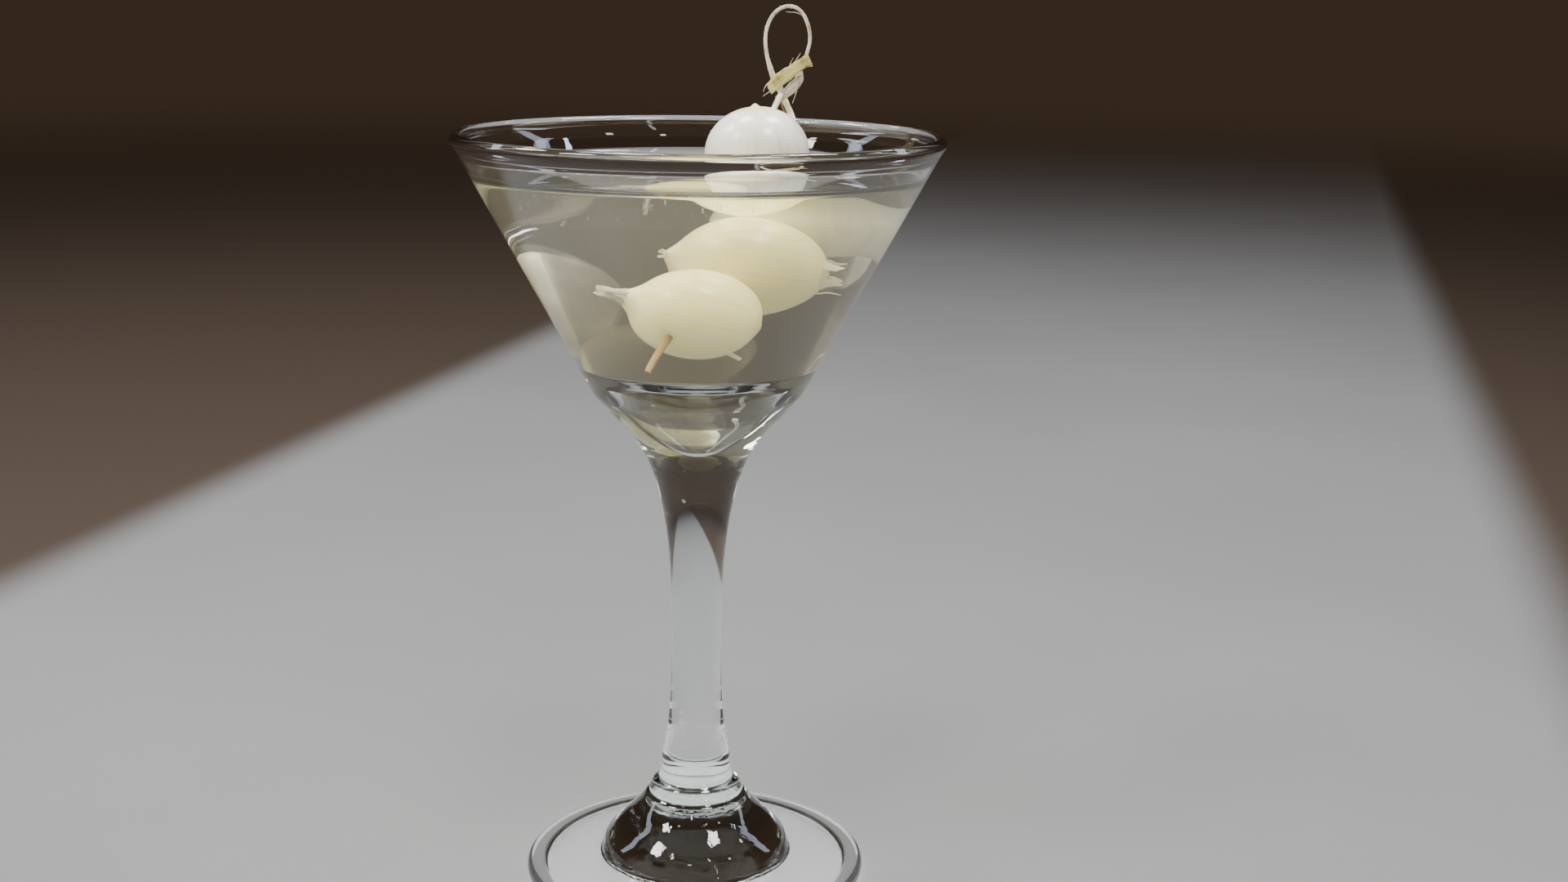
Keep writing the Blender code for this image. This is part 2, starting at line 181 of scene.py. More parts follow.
class OnionSizes(bpy.types.PropertyGroup):
    """The three onions, lower, middle and top."""

    radii: FloatVectorProperty(
        name="Radii",
        description="Lower, middle and top",
        default=(11.6 * MM, 12.7 * MM, 12.9 * MM),
        unit="LENGTH",
    )
    half_lengths: FloatVectorProperty(
        name="Half lengths",
        description="From the middle to a pole, lower, middle and top",
        default=(11.8 * MM, 12.2 * MM, 11.2 * MM),
        unit="LENGTH",
    )
    bare_tip: length("Bare tip", "Pick in front of the lower onion", 16.2 * MM)
    gap: length("Gap", "Between two onions", 0.5 * MM)
    pucker: length("Pucker", "Depth of the dent where the pick goes through", 0.55 * MM)
    pucker_reach: length("Pucker reach", "Radius of that dent", 1.7 * MM)
    skin: length("Skin", "Thickness of a leaf of skin", 0.22 * MM)
    flesh: colour("Flesh", "Colour of the brined flesh", "#F8F6E6")
    # The yellow of the two onions under the drink is painted light: it stands for the lamps' light that the
    # drink colours on its way to them
    painted_drink_light: colour("Flesh with painted drink light", "Colour of the two onions under the drink", "#F7EBA8")
    vein: colour("Vein", "Colour of the veins", "#E4E1CB")
    clear: colour("Clear skin", "Colour of the thin skin between its veins", "#F3F1E7")
    shoot: colour("Shoot end", "Tint at the shoot end", "#EFE6B8")
    root: colour("Root end", "Tint at the root end", "#D9B27A")


class PickSizes(bpy.types.PropertyGroup):
    """The knotted bamboo pick."""

    radius: length("Radius", "Radius of the shaft", 0.8 * MM)
    tip_radius: length("Tip radius", "Radius of the blunt tip", 0.6 * MM)
    point_length: length("Point", "Length of the taper at the tip", 1.4 * MM)
    strand_width: length("Strand width", "Width of the split strand in the loop", 0.95 * MM)
    strand_thickness: length("Strand thickness", "Thickness of the split strand", 0.42 * MM)
    band_width: length("Band width", "Width of the knot's outer band", 3.3 * MM)
    heart: colour("Heartwood", "Colour of the split inner bamboo", "#EFE6D2")
    heart_line: colour("Heartwood lines", "Colour between its fibres", "#A8895A")
    skin: colour("Green skin", "Colour of the outer bamboo", "#E6DD92")
    skin_line: colour("Green skin lines", "Colour between its fibres", "#8E8A45")
    wet: colour("Wet shaft", "Colour of the soaked shaft", "#84692C")
    wet_line: colour("Wet shaft lines", "Colour between its fibres", "#7C6030")
    soaked: length("Soaked length", "Shaft that is soaked right through, from the tip", 70.0 * MM)
    dry: length("Dry start", "Where the dry part of the shaft starts, from the tip", 88.0 * MM)


class StageSettings(bpy.types.PropertyGroup):
    """The table, the lamps and the camera."""

    table: colour("Table", "Colour of the pale table", "#7E8083")
    beyond: colour("Beyond the table", "Colour that the table fades to", "#3F362F")
    surround: colour("Surround", "Colour of the dark surround", "#3A2E24")
    ceiling: colour("Ceiling", "Colour of the room overhead", "#2A211A")
    key_power: amount("Key lamps", "The overhead soft lamps together", 50.0, unit="POWER")
    side_power: amount("Side lamps", "Each tall soft lamp at a side", 1.6, unit="POWER")
    strip_power: amount("Strip lamp", "The narrow lamp in front, to the right", 0.5, unit="POWER")
    spark_power: amount("Sparks", "Each small lamp overhead", 0.25, unit="POWER")
    sparks: IntProperty(name="Spark count", description="How many small lamps", default=12, min=0)
    seed: IntProperty(name="Seed", description="Seed for everything scattered", default=7)


# Small tools


def add_node(tree, kind, values=(), stops=(), **settings):
    """Adds a node. The settings go to its own fields, values hold a number or a feeding socket for each
    input, and stops are the (place, colour) pairs of a colour ramp."""
    node = tree.nodes.new(kind)
    for name, value in settings.items():
        setattr(node, name, value)
    for key, value in dict(values).items():
        if isinstance(value, bpy.types.NodeSocket):
            tree.links.new(value, node.inputs[key])
        else:
            node.inputs[key].default_value = value
    if stops:
        band = node.color_ramp.elements
        band[0].position, band[1].position = stops[0][0], stops[-1][0]
        for place, _ in stops[1:-1]:
            band.new(place)
        for element, (_, rgb) in zip(band, stops):
            element.color = (*rgb, 1.0)
    return node


def new_material(name):
    """A material with nothing in its tree but the output."""
    made = bpy.data.materials.new(name)
    made.use_nodes = True
    made.node_tree.nodes.clear()
    return made, made.node_tree, add_node(made.node_tree, "ShaderNodeOutputMaterial")


def smooth(points, steps):
    """A Catmull-Rom curve through the points."""
    keys = [Vector(p) for p in points]
    keys = [2 * keys[0] - keys[1], *keys, 2 * keys[-1] - keys[-2]]
    curve = []
    for a, b, c, d in zip(keys, keys[1:], keys[2:], keys[3:]):
        rise, bend, twist = c - a, 2 * a - 5 * b + 4 * c - d, 3 * b - a - 3 * c + d
        for i in range(steps):
            t = i / steps
            curve.append(0.5 * (2 * b + rise * t + bend * t**2 + twist * t**3))
    curve.append(keys[-2])
    return curve


def rounded(start, corner, end, steps):
    """Points that round a corner, from after the start up to the end."""
    shares = ((i + 1) / steps for i in range(steps))
    return [start.lerp(corner, t).lerp(corner.lerp(end, t), t) for t in shares]


def arc(centre, radius, start, end, steps):
    """Points on a circle in the (radius, height) plane, from one angle to another in degrees."""
    turns = (math.radians(start + (end - start) * i / steps) for i in range(steps + 1))
    return [Vector((centre[0] + radius * math.cos(a), centre[1] + radius * math.sin(a))) for a in turns]


def filled(outline, spacing):
    """The outline with more points on its long straight runs, so that they shade flat."""
    points = [Vector(outline[0])]
    for a, b in zip(outline, outline[1:]):
        a, b = Vector(a), Vector(b)
        parts = max(1, math.ceil((b - a).length / spacing))
        points += [a.lerp(b, i / parts) for i in range(1, parts + 1)]
    return points


def skinned(name, rings, grain=None):
    """A closed mesh through rings of points, with a point in the middle of each end ring.

    grain gives each point its place across, through and along the fibres, in millimetres.
    """
    count = len(rings[0])
    points = [p for ring in rings for p in ring]
    ends = [sum(ring, Vector()) / count for ring in (rings[0], rings[-1])]
    first, last = len(points), len(points) + 1
    faces = []
    for i in range(len(rings) - 1):
        low, high = i * count, (i + 1) * count
        faces += [(low + j, low + (j + 1) % count, high + (j + 1) % count, high + j) for j in range(count)]
    faces += [(first, (j + 1) % count, j) for j in range(count)]
    faces += [(last, high + j, high + (j + 1) % count) for j in range(count)]
    mesh = bpy.data.meshes.new(name)
    mesh.from_pydata(points + ends, [], faces)
    if grain is not None:
        flat = [g for ring in grain for g in ring]
        flat += [sum((Vector(g) for g in ring), Vector()) / count for ring in (grain[0], grain[-1])]
        layer = mesh.attributes.new("grain", "FLOAT_VECTOR", "POINT")
        layer.data.foreach_set("vector", [c for g in flat for c in g])
    tidy_mesh(mesh)
    return mesh


def tidy_mesh(mesh):
    """Points the faces outwards and shades them smooth, apart from true edges."""
    work = bmesh.new()
    work.from_mesh(mesh)
    bmesh.ops.recalc_face_normals(work, faces=work.faces)
    work.to_mesh(mesh)
    work.free()
    mesh.shade_smooth()
    mesh.set_sharp_from_angle(angle=SHARP)


def lathe(name, outline, segments):
    """Turns an outline of (radius, height) round Z. Its two ends lie next to the axis."""
    ways = [(math.cos(a), math.sin(a)) for a in (math.tau * j / segments for j in range(segments))]
    rings = [[Vector((r * x, r * y, z)) for x, y in ways] for r, z in outline]
    return skinned(name, rings)


def strip(name, route, widths, thickness, facing, steps=8, sides=14, ragged=0.05, seed=0):
    """A split strip along a smooth curve. facing is where its broad side looks, at each point."""
    line = smooth(route, steps)
    broad = smooth([(w, 0.0, 0.0) for w in widths], steps)
    looks = smooth(facing, steps)
    # The power squares off the section, and the seed moves each strip's rag and grain off another's
    squareness, rag_pitch, rag_shift, grain_shift = 0.6, 0.35, 3.1, 7.3
    rings, grain, run = [], [], 0.0
    for i, point in enumerate(line):
        ahead, behind = line[min(i + 1, len(line) - 1)], line[max(i - 1, 0)]
        along = (ahead - behind).normalized()
        across = along.cross(looks[i]).normalized()
        through = across.cross(along)
        rag = noise.noise(Vector((i * rag_pitch, seed * rag_shift, 0.0)))
        half = broad[i].x / 2 * (1 + ragged * rag)
        ring, marks = [], []
        for k in range(sides):
            turn = math.tau * k / sides
            x = half * math.copysign(abs(math.cos(turn)) ** squareness, math.cos(turn))
            y = thickness / 2 * math.copysign(abs(math.sin(turn)) ** squareness, math.sin(turn))
            ring.append(point + across * x + through * y)
            marks.append((x / MM + grain_shift * seed, y / MM, run / MM))
        rings.append(ring)
        grain.append(marks)
        run += (ahead - point).length
    return skinned(name, rings, grain)


def settle(name, mesh, body, coat, replaces=()):
    """Adds a finished mesh as a piece that rides on a body."""
    mesh.materials.clear()
    mesh.materials.append(coat)
    piece = bpy.data.objects.new(name, mesh)
    bpy.context.scene.collection.objects.link(piece)
    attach(piece, body)
    if replaces:
        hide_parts(*replaces)
    return piece


def joined(name, meshes):
    """Several meshes as one."""
    work = bmesh.new()
    for mesh in meshes:
        work.from_mesh(mesh)
    made = bpy.data.meshes.new(name)
    work.to_mesh(made)
    work.free()
    for mesh in meshes:
        bpy.data.meshes.remove(mesh)
    made.set_sharp_from_angle(angle=SHARP)
    return made


# Materials

WHITE = (1.0, 1.0, 1.0)

# The height that a bump of full strength stands for
RELIEF = 0.2 * MM


def lamp_clear(tree, out, shader, through):
    """Lets the lamps' light pass, so that what is inside the glass is lit."""
    ray = add_node(tree, "ShaderNodeLightPath")
    clear = add_node(tree, "ShaderNodeBsdfTransparent", {"Color": (*through, 1.0)})
    values = {0: ray.outputs["Is Shadow Ray"], 1: shader.outputs[0], 2: clear.outputs[0]}
    mix = add_node(tree, "ShaderNodeMixShader", values)
    tree.links.new(mix.outputs[0], out.inputs["Surface"])


def soda_lime_glass(sizes):
    """Soda-lime glass, pressed and fire-polished: clear, faintly wavy, sea green where it is deep."""
    made, tree, out = new_material("soda_lime_glass_fire_polished")
    place = add_node(tree, "ShaderNodeTexCoord").outputs["Object"]
    # Fire polishing leaves waves about 14 mm long
    wave = add_node(tree, "ShaderNodeTexNoise", {"Vector": place, "Scale": 70.0, "Detail": 1.0})
    values = {"Height": wave.outputs["Fac"], "Strength": 0.35, "Distance": RELIEF}
    waved = add_node(tree, "ShaderNodeBump", values)
    # The mould leaves swirls about 4 mm long in the bell of the foot, and they fade out over its lower edge
    swirl = add_node(tree, "ShaderNodeTexNoise", {"Vector": place, "Scale": 240.0, "Distortion": 1.2})
    out_from_foot = add_node(tree, "ShaderNodeVectorMath", {0: place}, operation="LENGTH")
    values = {
        "Value": out_from_foot.outputs["Value"],
        "From Min": 26.0 * MM,
        "From Max": 18.0 * MM,
        "To Max": 0.7,
    }
    near = add_node(tree, "ShaderNodeMapRange", values)
    values = {
        "Height": swirl.outputs["Fac"],
        "Strength": near.outputs[0],
        "Distance": RELIEF,
        "Normal": waved.outputs["Normal"],
    }
    swirled = add_node(tree, "ShaderNodeBump", values)
    values = {
        "Base Color": (*WHITE, 1.0),
        "Roughness": 0.0,
        "IOR": 1.5,
        "Transmission Weight": 1.0,
        "Normal": swirled.outputs["Normal"],
    }
    shader = add_node(tree, "ShaderNodeBsdfPrincipled", values)
    lamp_clear(tree, out, shader, (0.9, 0.91, 0.9))
    values = {"Color": (*sizes.tint, 1.0), "Density": sizes.density}
    depth = add_node(tree, "ShaderNodeVolumeAbsorption", values)
    tree.links.new(depth.outputs[0], out.inputs["Volume"])
    return made


def dry_martini(sizes):
    """Gin, vermouth and brine: clear to the eye, pale straw through the width of the bowl."""
    made, tree, out = new_material("gin_vermouth_brine")
    values = {"Base Color": (*WHITE, 1.0), "Roughness": 0.0, "IOR": 1.36, "Transmission Weight": 1.0}
    shader = add_node(tree, "ShaderNodeBsdfPrincipled", values)
    lamp_clear(tree, out, shader, (0.97, 0.97, 0.93))
    values = {"Color": (*sizes.tint, 1.0), "Density": sizes.density}
    depth = add_node(tree, "ShaderNodeVolumeAbsorption", values)
    values = {"Color": (1.0, 0.98, 0.8, 1.0), "Density": sizes.haze, "Anisotropy": 0.2}
    haze = add_node(tree, "ShaderNodeVolumeScatter", values)
    both = add_node(tree, "ShaderNodeAddShader", {0: depth.outputs[0], 1: haze.outputs[0]})
    tree.links.new(both.outputs[0], out.inputs["Volume"])
    return made


def onion_flesh(name, flesh, sizes):
    """Pearl onion, peeled and brined: waxy, wet and softly lit from inside, with veins from root to shoot."""
    made, tree, out = new_material(name)
    grain = add_node(tree, "ShaderNodeAttribute", attribute_name="grain").outputs["Vector"]
    # Veins lie about 1 mm apart and run nearly the onion's whole length
    drawn = add_node(tree, "ShaderNodeMapping", {"Vector": grain, "Scale": (1.1, 1.1, 0.09)})
    vein = add_node(tree, "ShaderNodeTexNoise", {"Vector": drawn.outputs[0], "Scale": 1.0, "Detail": 3.0})
    stops = ((0.34, sizes.vein), (0.52, flesh), (0.75, flesh))
    veined = add_node(tree, "ShaderNodeValToRGB", {"Fac": vein.outputs["Fac"]}, stops)
    cloud = add_node(tree, "ShaderNodeTexNoise", {"Vector": grain, "Scale": 0.16, "Detail": 2.0})
    values = {0: cloud.outputs["Fac"], 6: veined.outputs["Color"], 7: (*flesh, 1.0)}
    body = add_node(tree, "ShaderNodeMix", values, data_type="RGBA")
    pole = add_node(tree, "ShaderNodeSeparateXYZ", {"Vector": grain})
    values = {"Value": pole.outputs["Z"], "From Min": 0.0, "From Max": math.pi * GRAIN_BALL}
    along = add_node(tree, "ShaderNodeMapRange", values)
    shoot = tuple(s / f for s, f in zip(sizes.shoot, flesh))
    root = tuple(s / f for s, f in zip(sizes.root, flesh))
    stops = ((0.0, shoot), (0.05, shoot), (0.16, WHITE), (0.955, WHITE), (0.975, root), (1.0, root))
    ends = add_node(tree, "ShaderNodeValToRGB", {"Fac": along.outputs[0]}, stops)
    values = {0: 1.0, 6: body.outputs[2], 7: ends.outputs["Color"]}
    toned = add_node(tree, "ShaderNodeMix", values, data_type="RGBA", blend_type="MULTIPLY")
    values = {"Height": vein.outputs["Fac"], "Strength": 0.12, "Distance": RELIEF}
    bump = add_node(tree, "ShaderNodeBump", values)
    values = {
        "Base Color": toned.outputs[2],
        "Roughness": 0.3,
        "IOR": 1.4,
        "Subsurface Weight": 0.6,
        "Subsurface Radius": (1.0, 0.85, 0.55),
        "Subsurface Scale": 4.0 * MM,
        "Coat Weight": 0.35,
        "Coat Roughness": 0.12,
        "Normal": bump.outputs["Normal"],
    }
    shader = add_node(tree, "ShaderNodeBsdfPrincipled", values)
    tree.links.new(shader.outputs[0], out.inputs["Surface"])
    return made


def onion_skin(sizes):
    """The onion's soaked inner skin: a thin, half clear film with veins, frayed where it was trimmed."""
    made, tree, out = new_material("onion_inner_skin_soaked")
    grain = add_node(tree, "ShaderNodeAttribute", attribute_name="grain").outputs["Vector"]
    # Veins lie about 0.4 mm apart in the thin skin
    drawn = add_node(tree, "ShaderNodeMapping", {"Vector": grain, "Scale": (2.5, 2.5, 0.25)})
    vein = add_node(tree, "ShaderNodeTexNoise", {"Vector": drawn.outputs[0], "Scale": 1.0, "Detail": 2.0})
    stops = ((0.3, sizes.shoot), (0.55, sizes.flesh), (0.8, sizes.clear))
    veined = add_node(tree, "ShaderNodeValToRGB", {"Fac": vein.outputs["Fac"]}, stops)
    values = {"Height": vein.outputs["Fac"], "Strength": 0.5, "Distance": RELIEF}
    bump = add_node(tree, "ShaderNodeBump", values)
    values = {
        "Base Color": veined.outputs["Color"],
        "Roughness": 0.35,
        "IOR": 1.4,
        "Transmission Weight": 0.45,
        "Subsurface Weight": 0.4,
        "Subsurface Radius": (1.0, 0.85, 0.55),
        "Subsurface Scale": 2.0 * MM,
        "Normal": bump.outputs["Normal"],
    }
    shader = add_node(tree, "ShaderNodeBsdfPrincipled", values)
    tree.links.new(shader.outputs[0], out.inputs["Surface"])
    return made


def bamboo(name, light, dark, roughness, dry_part=None):
    """Split bamboo: straight fibres with darker lines between them, dry and lightly polished by the knife.

    dry_part is (colour, where the soaked part ends, where the dry part starts), both along the fibres.
    """
    made, tree, out = new_material(name)
    grain = add_node(tree, "ShaderNodeAttribute", attribute_name="grain").outputs["Vector"]
    # Fibre bundles are about 0.25 mm wide, drawn coarser than the real 0.1 mm so that they show
    drawn = add_node(tree, "ShaderNodeMapping", {"Vector": grain, "Scale": (4.0, 4.0, 0.12)})
    fibre = add_node(tree, "ShaderNodeTexNoise", {"Vector": drawn.outputs[0], "Scale": 1.0, "Detail": 3.0})
    patch = add_node(tree, "ShaderNodeTexNoise", {"Vector": grain, "Scale": 0.3, "Detail": 2.0})
    values = {0: fibre.outputs["Fac"], 1: patch.outputs["Fac"]}
    both = add_node(tree, "ShaderNodeMath", values, operation="ADD")
    half = add_node(tree, "ShaderNodeMath", {0: both.outputs[0], 1: 0.5}, operation="MULTIPLY")
    middle = tuple((a + b) / 2 for a, b in zip(light, dark))
    stops = ((0.36, dark), (0.45, middle), (0.54, light), (0.66, light))
    tint = add_node(tree, "ShaderNodeValToRGB", {"Fac": half.outputs[0]}, stops).outputs["Color"]
    if dry_part is not None:
        # Where the drink doesn't reach, the shaft stays pale
        pale, soaked_end, dry_start = dry_part
        parts = add_node(tree, "ShaderNodeSeparateXYZ", {"Vector": grain})
        values = {"Value": parts.outputs["Z"], "From Min": soaked_end / MM, "From Max": dry_start / MM}
        dry = add_node(tree, "ShaderNodeMapRange", values)
        stops = ((0.36, tuple(0.6 * c for c in pale)), (0.5, pale), (0.66, pale))
        pale_tint = add_node(tree, "ShaderNodeValToRGB", {"Fac": half.outputs[0]}, stops)
        values = {0: dry.outputs[0], 6: tint, 7: pale_tint.outputs["Color"]}
        tint = add_node(tree, "ShaderNodeMix", values, data_type="RGBA").outputs[2]
    values = {"Height": fibre.outputs["Fac"], "Strength": 0.7, "Distance": RELIEF}
    bump = add_node(tree, "ShaderNodeBump", values)
    values = {
        "Base Color": tint,
        "Roughness": roughness,
        "IOR": 1.45,
        "Subsurface Weight": 0.15,
        "Subsurface Radius": (1.0, 0.7, 0.4),
        "Subsurface Scale": 0.8 * MM,
        "Normal": bump.outputs["Normal"],
    }
    shader = add_node(tree, "ShaderNodeBsdfPrincipled", values)
    tree.links.new(shader.outputs[0], out.inputs["Surface"])
    return made


def shared(name, maker, *words):
    """The material of that name, made the first time it is asked for."""
    known = bpy.data.materials.get(name)
    return known if known else maker(*words)


def split_bamboo(p, part):
    """The bamboo of one part of the pick: its heart, its green skin or its soaked shaft."""
    light, dark, roughness = {
        "heart": (p.heart, p.heart_line, 0.5),
        "skin": (p.skin, p.skin_line, 0.4),
        "wet": (p.wet, p.wet_line, 0.4),
    }[part]
    name = "split_bamboo_" + part
    dry_part = (tuple(p.heart), p.soaked, p.dry) if part == "wet" else None
    return shared(name, bamboo, name, tuple(light), tuple(dark), roughness, dry_part)


def air_bubble():
    """Air in the drink: a bright, mirror-like bead."""
    made, tree, out = new_material("air_bubble")
    place = add_node(tree, "ShaderNodeTexCoord").outputs["Object"]
    # Its brightness changes about every millimetre, from bubble to bubble
    spread = add_node(tree, "ShaderNodeTexNoise", {"Vector": place, "Scale": 900.0})
    stops = ((0.3, linear("#E9E9DE")), (0.7, WHITE))
    tint = add_node(tree, "ShaderNodeValToRGB", {"Fac": spread.outputs["Fac"]}, stops)
    values = {
        "Base Color": tint.outputs["Color"],
        "Roughness": 0.02,
        "IOR": 1.33,
        "Transmission Weight": 0.85,
    }
    shader = add_node(tree, "ShaderNodeBsdfPrincipled", values)
    tree.links.new(shader.outputs[0], out.inputs["Surface"])
    return made


# The glass


def wall_stretch(g):
    """How much wider the wall is on a level cut than square to itself, and the slope of the wall."""
    bead_z = g.rim_height - g.bead_radius
    slope = (g.rim_radius - g.shoulder_radius) / (bead_z - shoulder_z(g))
    return math.hypot(1, slope), slope


def shoulder_z(g):
    return bowl_foot() + g.shoulder_height


def bowl_foot():
    """Where the bowl grows out of the stem, half way across the gap between the two nodes."""
    return (STEM_HIGH.z + BOWL_LOW.z) / 2


def foot_top():
    """Where the stem grows out of the foot."""
    return (STEM_LOW.z + FOOT_HIGH.z) / 2


def cone_radius(g, z):
    return g.shoulder_radius + wall_stretch(g)[1] * (z - shoulder_z(g))


def cavity_radius(g, z):
    return cone_radius(g, z) - g.wall * wall_stretch(g)[0]


def hollow(g, inset):
    """The bowl's hollow from its lowest point to the start of its straight wall, drawn in by an inset."""
    floor_z = BOWL_LOW.z + g.base_thickness
    ring_z = floor_z + g.well_height
    edge, draw_in = cavity_radius(g, ring_z), inset * wall_stretch(g)[0]
    well = smooth([(edge * r, floor_z + g.well_height * h) for r, h in WELL_SHAPE], 8)
    outline = [Vector((AXIS_GAP, floor_z + inset))]
    for behind, point, ahead in zip(well, well[1:], [*well[2:], well[-1]]):
        along = (ahead - behind).normalized()
        z = point.y + inset * along.x
        outline.append(Vector((min(point.x - inset * along.y, cavity_radius(g, z) - draw_in), z)))
    wall_z = ring_z + g.well_round
    above = Vector((cavity_radius(g, wall_z) - draw_in, wall_z))
    below, ring = outline[-2:]
    return [*outline[:-1], *rounded(below, ring, above, 6)]


def stem_radius(g, z):
    height, full = z - foot_top(), bowl_foot() - foot_top()
    if height < g.stem_waist_low:
        end_radius, share = g.stem_foot_radius, 1 - height / g.stem_waist_low
    else:
        end_radius = g.stem_bowl_radius
        share = max(0.0, (height - g.stem_waist_high) / (full - g.stem_waist_high))
    return g.stem_waist_radius + (end_radius - g.stem_waist_radius) * share**g.stem_flare


def vessel_outline(g):
    """Half the glass's section, from the bottom of its hollow over the rim and down under its foot."""
    bead = (g.rim_radius - g.bead_radius, g.rim_height - g.bead_radius)
    under = bead[1] - g.lip_blend
    growth = g.shoulder_radius - g.stem_bowl_radius
    base = [
        (g.stem_bowl_radius + growth * r, bowl_foot() + g.shoulder_height * h) for r, h in BOWL_BASE_SHAPE
    ]
    outline = hollow(g, 0.0)
    outline += [Vector((cavity_radius(g, under), under)), *arc(bead, g.bead_radius, 205, -25, 26)]
    outline += [Vector((cone_radius(g, under), under)), *reversed(smooth(base, 10))]
    steps = 60
    heights = [bowl_foot() + (foot_top() - bowl_foot()) * i / steps for i in range(1, steps)]
    outline += [Vector((stem_radius(g, z), z)) for z in heights]
    plate = g.foot_edge + g.foot_rise
    bell_low = plate + g.bell_edge
    growth, rise = g.bell_radius - g.stem_foot_radius, foot_top() - bell_low
    bell = [(g.stem_foot_radius + growth * r, bell_low + rise * h) for r, h in BELL_SHAPE]
    outline += smooth(bell, 10)[1:]
    step = Vector((g.bell_radius + g.bell_edge, plate))
    outline += rounded(outline[-1], Vector((g.bell_radius, plate)), step, 5)
    half = g.foot_edge / 2
    outline += arc((g.foot_radius - half, half), half, 80, -60, 16)
    ring_outer = g.foot_radius - half
    ring_inner = ring_outer - g.ring_width
    outline.append(Vector((ring_outer, 0.0)))
    steps = 14
    turns = [math.pi / 2 * i / steps for i in range(steps)]
    outline += [Vector((ring_inner * math.cos(a), g.recess * math.sin(a))) for a in turns]
    outline.append(Vector((AXIS_GAP, g.recess)))
    return ledged(g, filled(outline, 1.6 * MM))


def ledged(g, outline):
    """Presses a ledge and a fine groove under it into the outline, at the foot of the stem."""
    ledge_z, groove_z = foot_top() + g.ledge_height, foot_top() - g.groove_drop
    # The points lie closer where the ledge and the groove bend the outline
    spacing, lowest, highest = 0.2 * MM, -2.5 * MM, 9.0 * MM
    made = []
    for a, b in zip(outline, outline[1:]):
        made.append(a)
        if lowest < a.y - foot_top() < highest:
            parts = max(1, math.ceil((b - a).length / spacing))
            made += [a.lerp(b, i / parts) for i in range(1, parts)]
    made.append(outline[-1])
    # The ledge runs out gently up the stem, and the groove is about a third as deep
    run_out, groove_share = 3.5, 0.35
    for point in made:
        over = point.y - ledge_z
        reach = g.ledge_reach * (1.0 if over < 0 else run_out)
        groove = groove_share * math.exp(-(((point.y - groove_z) / g.groove_reach) ** 2))
        point.x -= g.ledge_depth * (math.exp(-((over / reach) ** 2)) + groove)
    return made


class MARTINI_OT_glass(bpy.types.Operator):
    """Turn the whole glass as one clear body: bowl, stem and foot."""

    bl_idname = "martini.glass"
    bl_label = "Glass"

    def execute(self, context):
        g = context.scene.martini_glass
        mesh = lathe("glass_vessel", vessel_outline(g), TURNED_SIDES)
        coat = shared("soda_lime_glass_fire_polished", soda_lime_glass, g)
        settle("glass_vessel", mesh, "glass", coat, ("bowl", "stem", "foot"))
        return {"FINISHED"}


class MARTINI_OT_drink(bpy.types.Operator):
    """Pour the drink, with a meniscus where it climbs the wall."""

    bl_idname = "martini.drink"
    bl_label = "Drink"

    def execute(self, context):
        g, d = context.scene.martini_glass, context.scene.martini_drink
        stretch = wall_stretch(g)[0]
        edge_z = d.level + d.rise
        edge = cavity_radius(g, edge_z) + d.overlap * stretch
        outline = [*hollow(g, -d.overlap), Vector((edge, edge_z))]
        outline = filled(outline, 1.5 * MM)
        # The points lie closest at the wall, where the surface climbs
        away, least, growth, most, middle = 0.08 * MM, 0.12 * MM, 0.15, 1.5 * MM, 1.0 * MM
        while edge - away > middle:
            outline.append(Vector((edge - away, d.level + d.rise * math.exp(-away / d.reach))))
            away += max(least, min(growth * away, most))
        outline.append(Vector((AXIS_GAP, d.level)))
        mesh = lathe("drink_body", outline, TURNED_SIDES)
        coat = shared("gin_vermouth_brine", dry_martini, d)
        piece = settle("drink_body", mesh, "glass", coat, ("drink",))
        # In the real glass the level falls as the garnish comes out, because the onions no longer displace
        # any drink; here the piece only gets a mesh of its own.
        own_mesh(piece)
        return {"FINISHED"}


# The onions

# Shoot way, distance off the pick, neck height, neck width as an angle, and a turn for its lobes
ONION_FORMS = {
    "onion_lower": (Vector((-0.93, -0.1, 0.3)), Vector((1.6, 0.0, 0.0)) * MM, 3.2 * MM, 0.23, 0.4),
    "onion_middle": (Vector((-0.95, -0.2, 0.22)), Vector((1.8, 0.0, -1.0)) * MM, 1.5 * MM, 0.2, 2.1),
    "onion_top": (Vector((-0.06, -0.12, 1.0)), Vector((0.4, -0.5, -1.1)) * MM, 1.0 * MM, 0.075, 4.0),
}


def pick_ends(p):
    """The middle of the pick's tip and the middle of its flat end."""
    lean = Vector([math.sqrt(1 - c * c) for c in PICK_WAY])
    return SHAFT_LOW + lean * p.tip_radius, SHAFT_HIGH - lean * p.radius


def onion_place(index, sizes, p):
    """An onion's middle, and the turn that takes +Z to its shoot."""
    way, off, *_ = ONION_FORMS[ONION_NAMES[index]]
    along = sizes.bare_tip + sum(2 * r + sizes.gap for r in sizes.radii[:index]) + sizes.radii[index]
    middle = pick_ends(p)[0] + PICK_WAY * along + off
    return Matrix.Translation(middle) @ way.normalized().to_track_quat("Z", "Y").to_matrix().to_4x4()


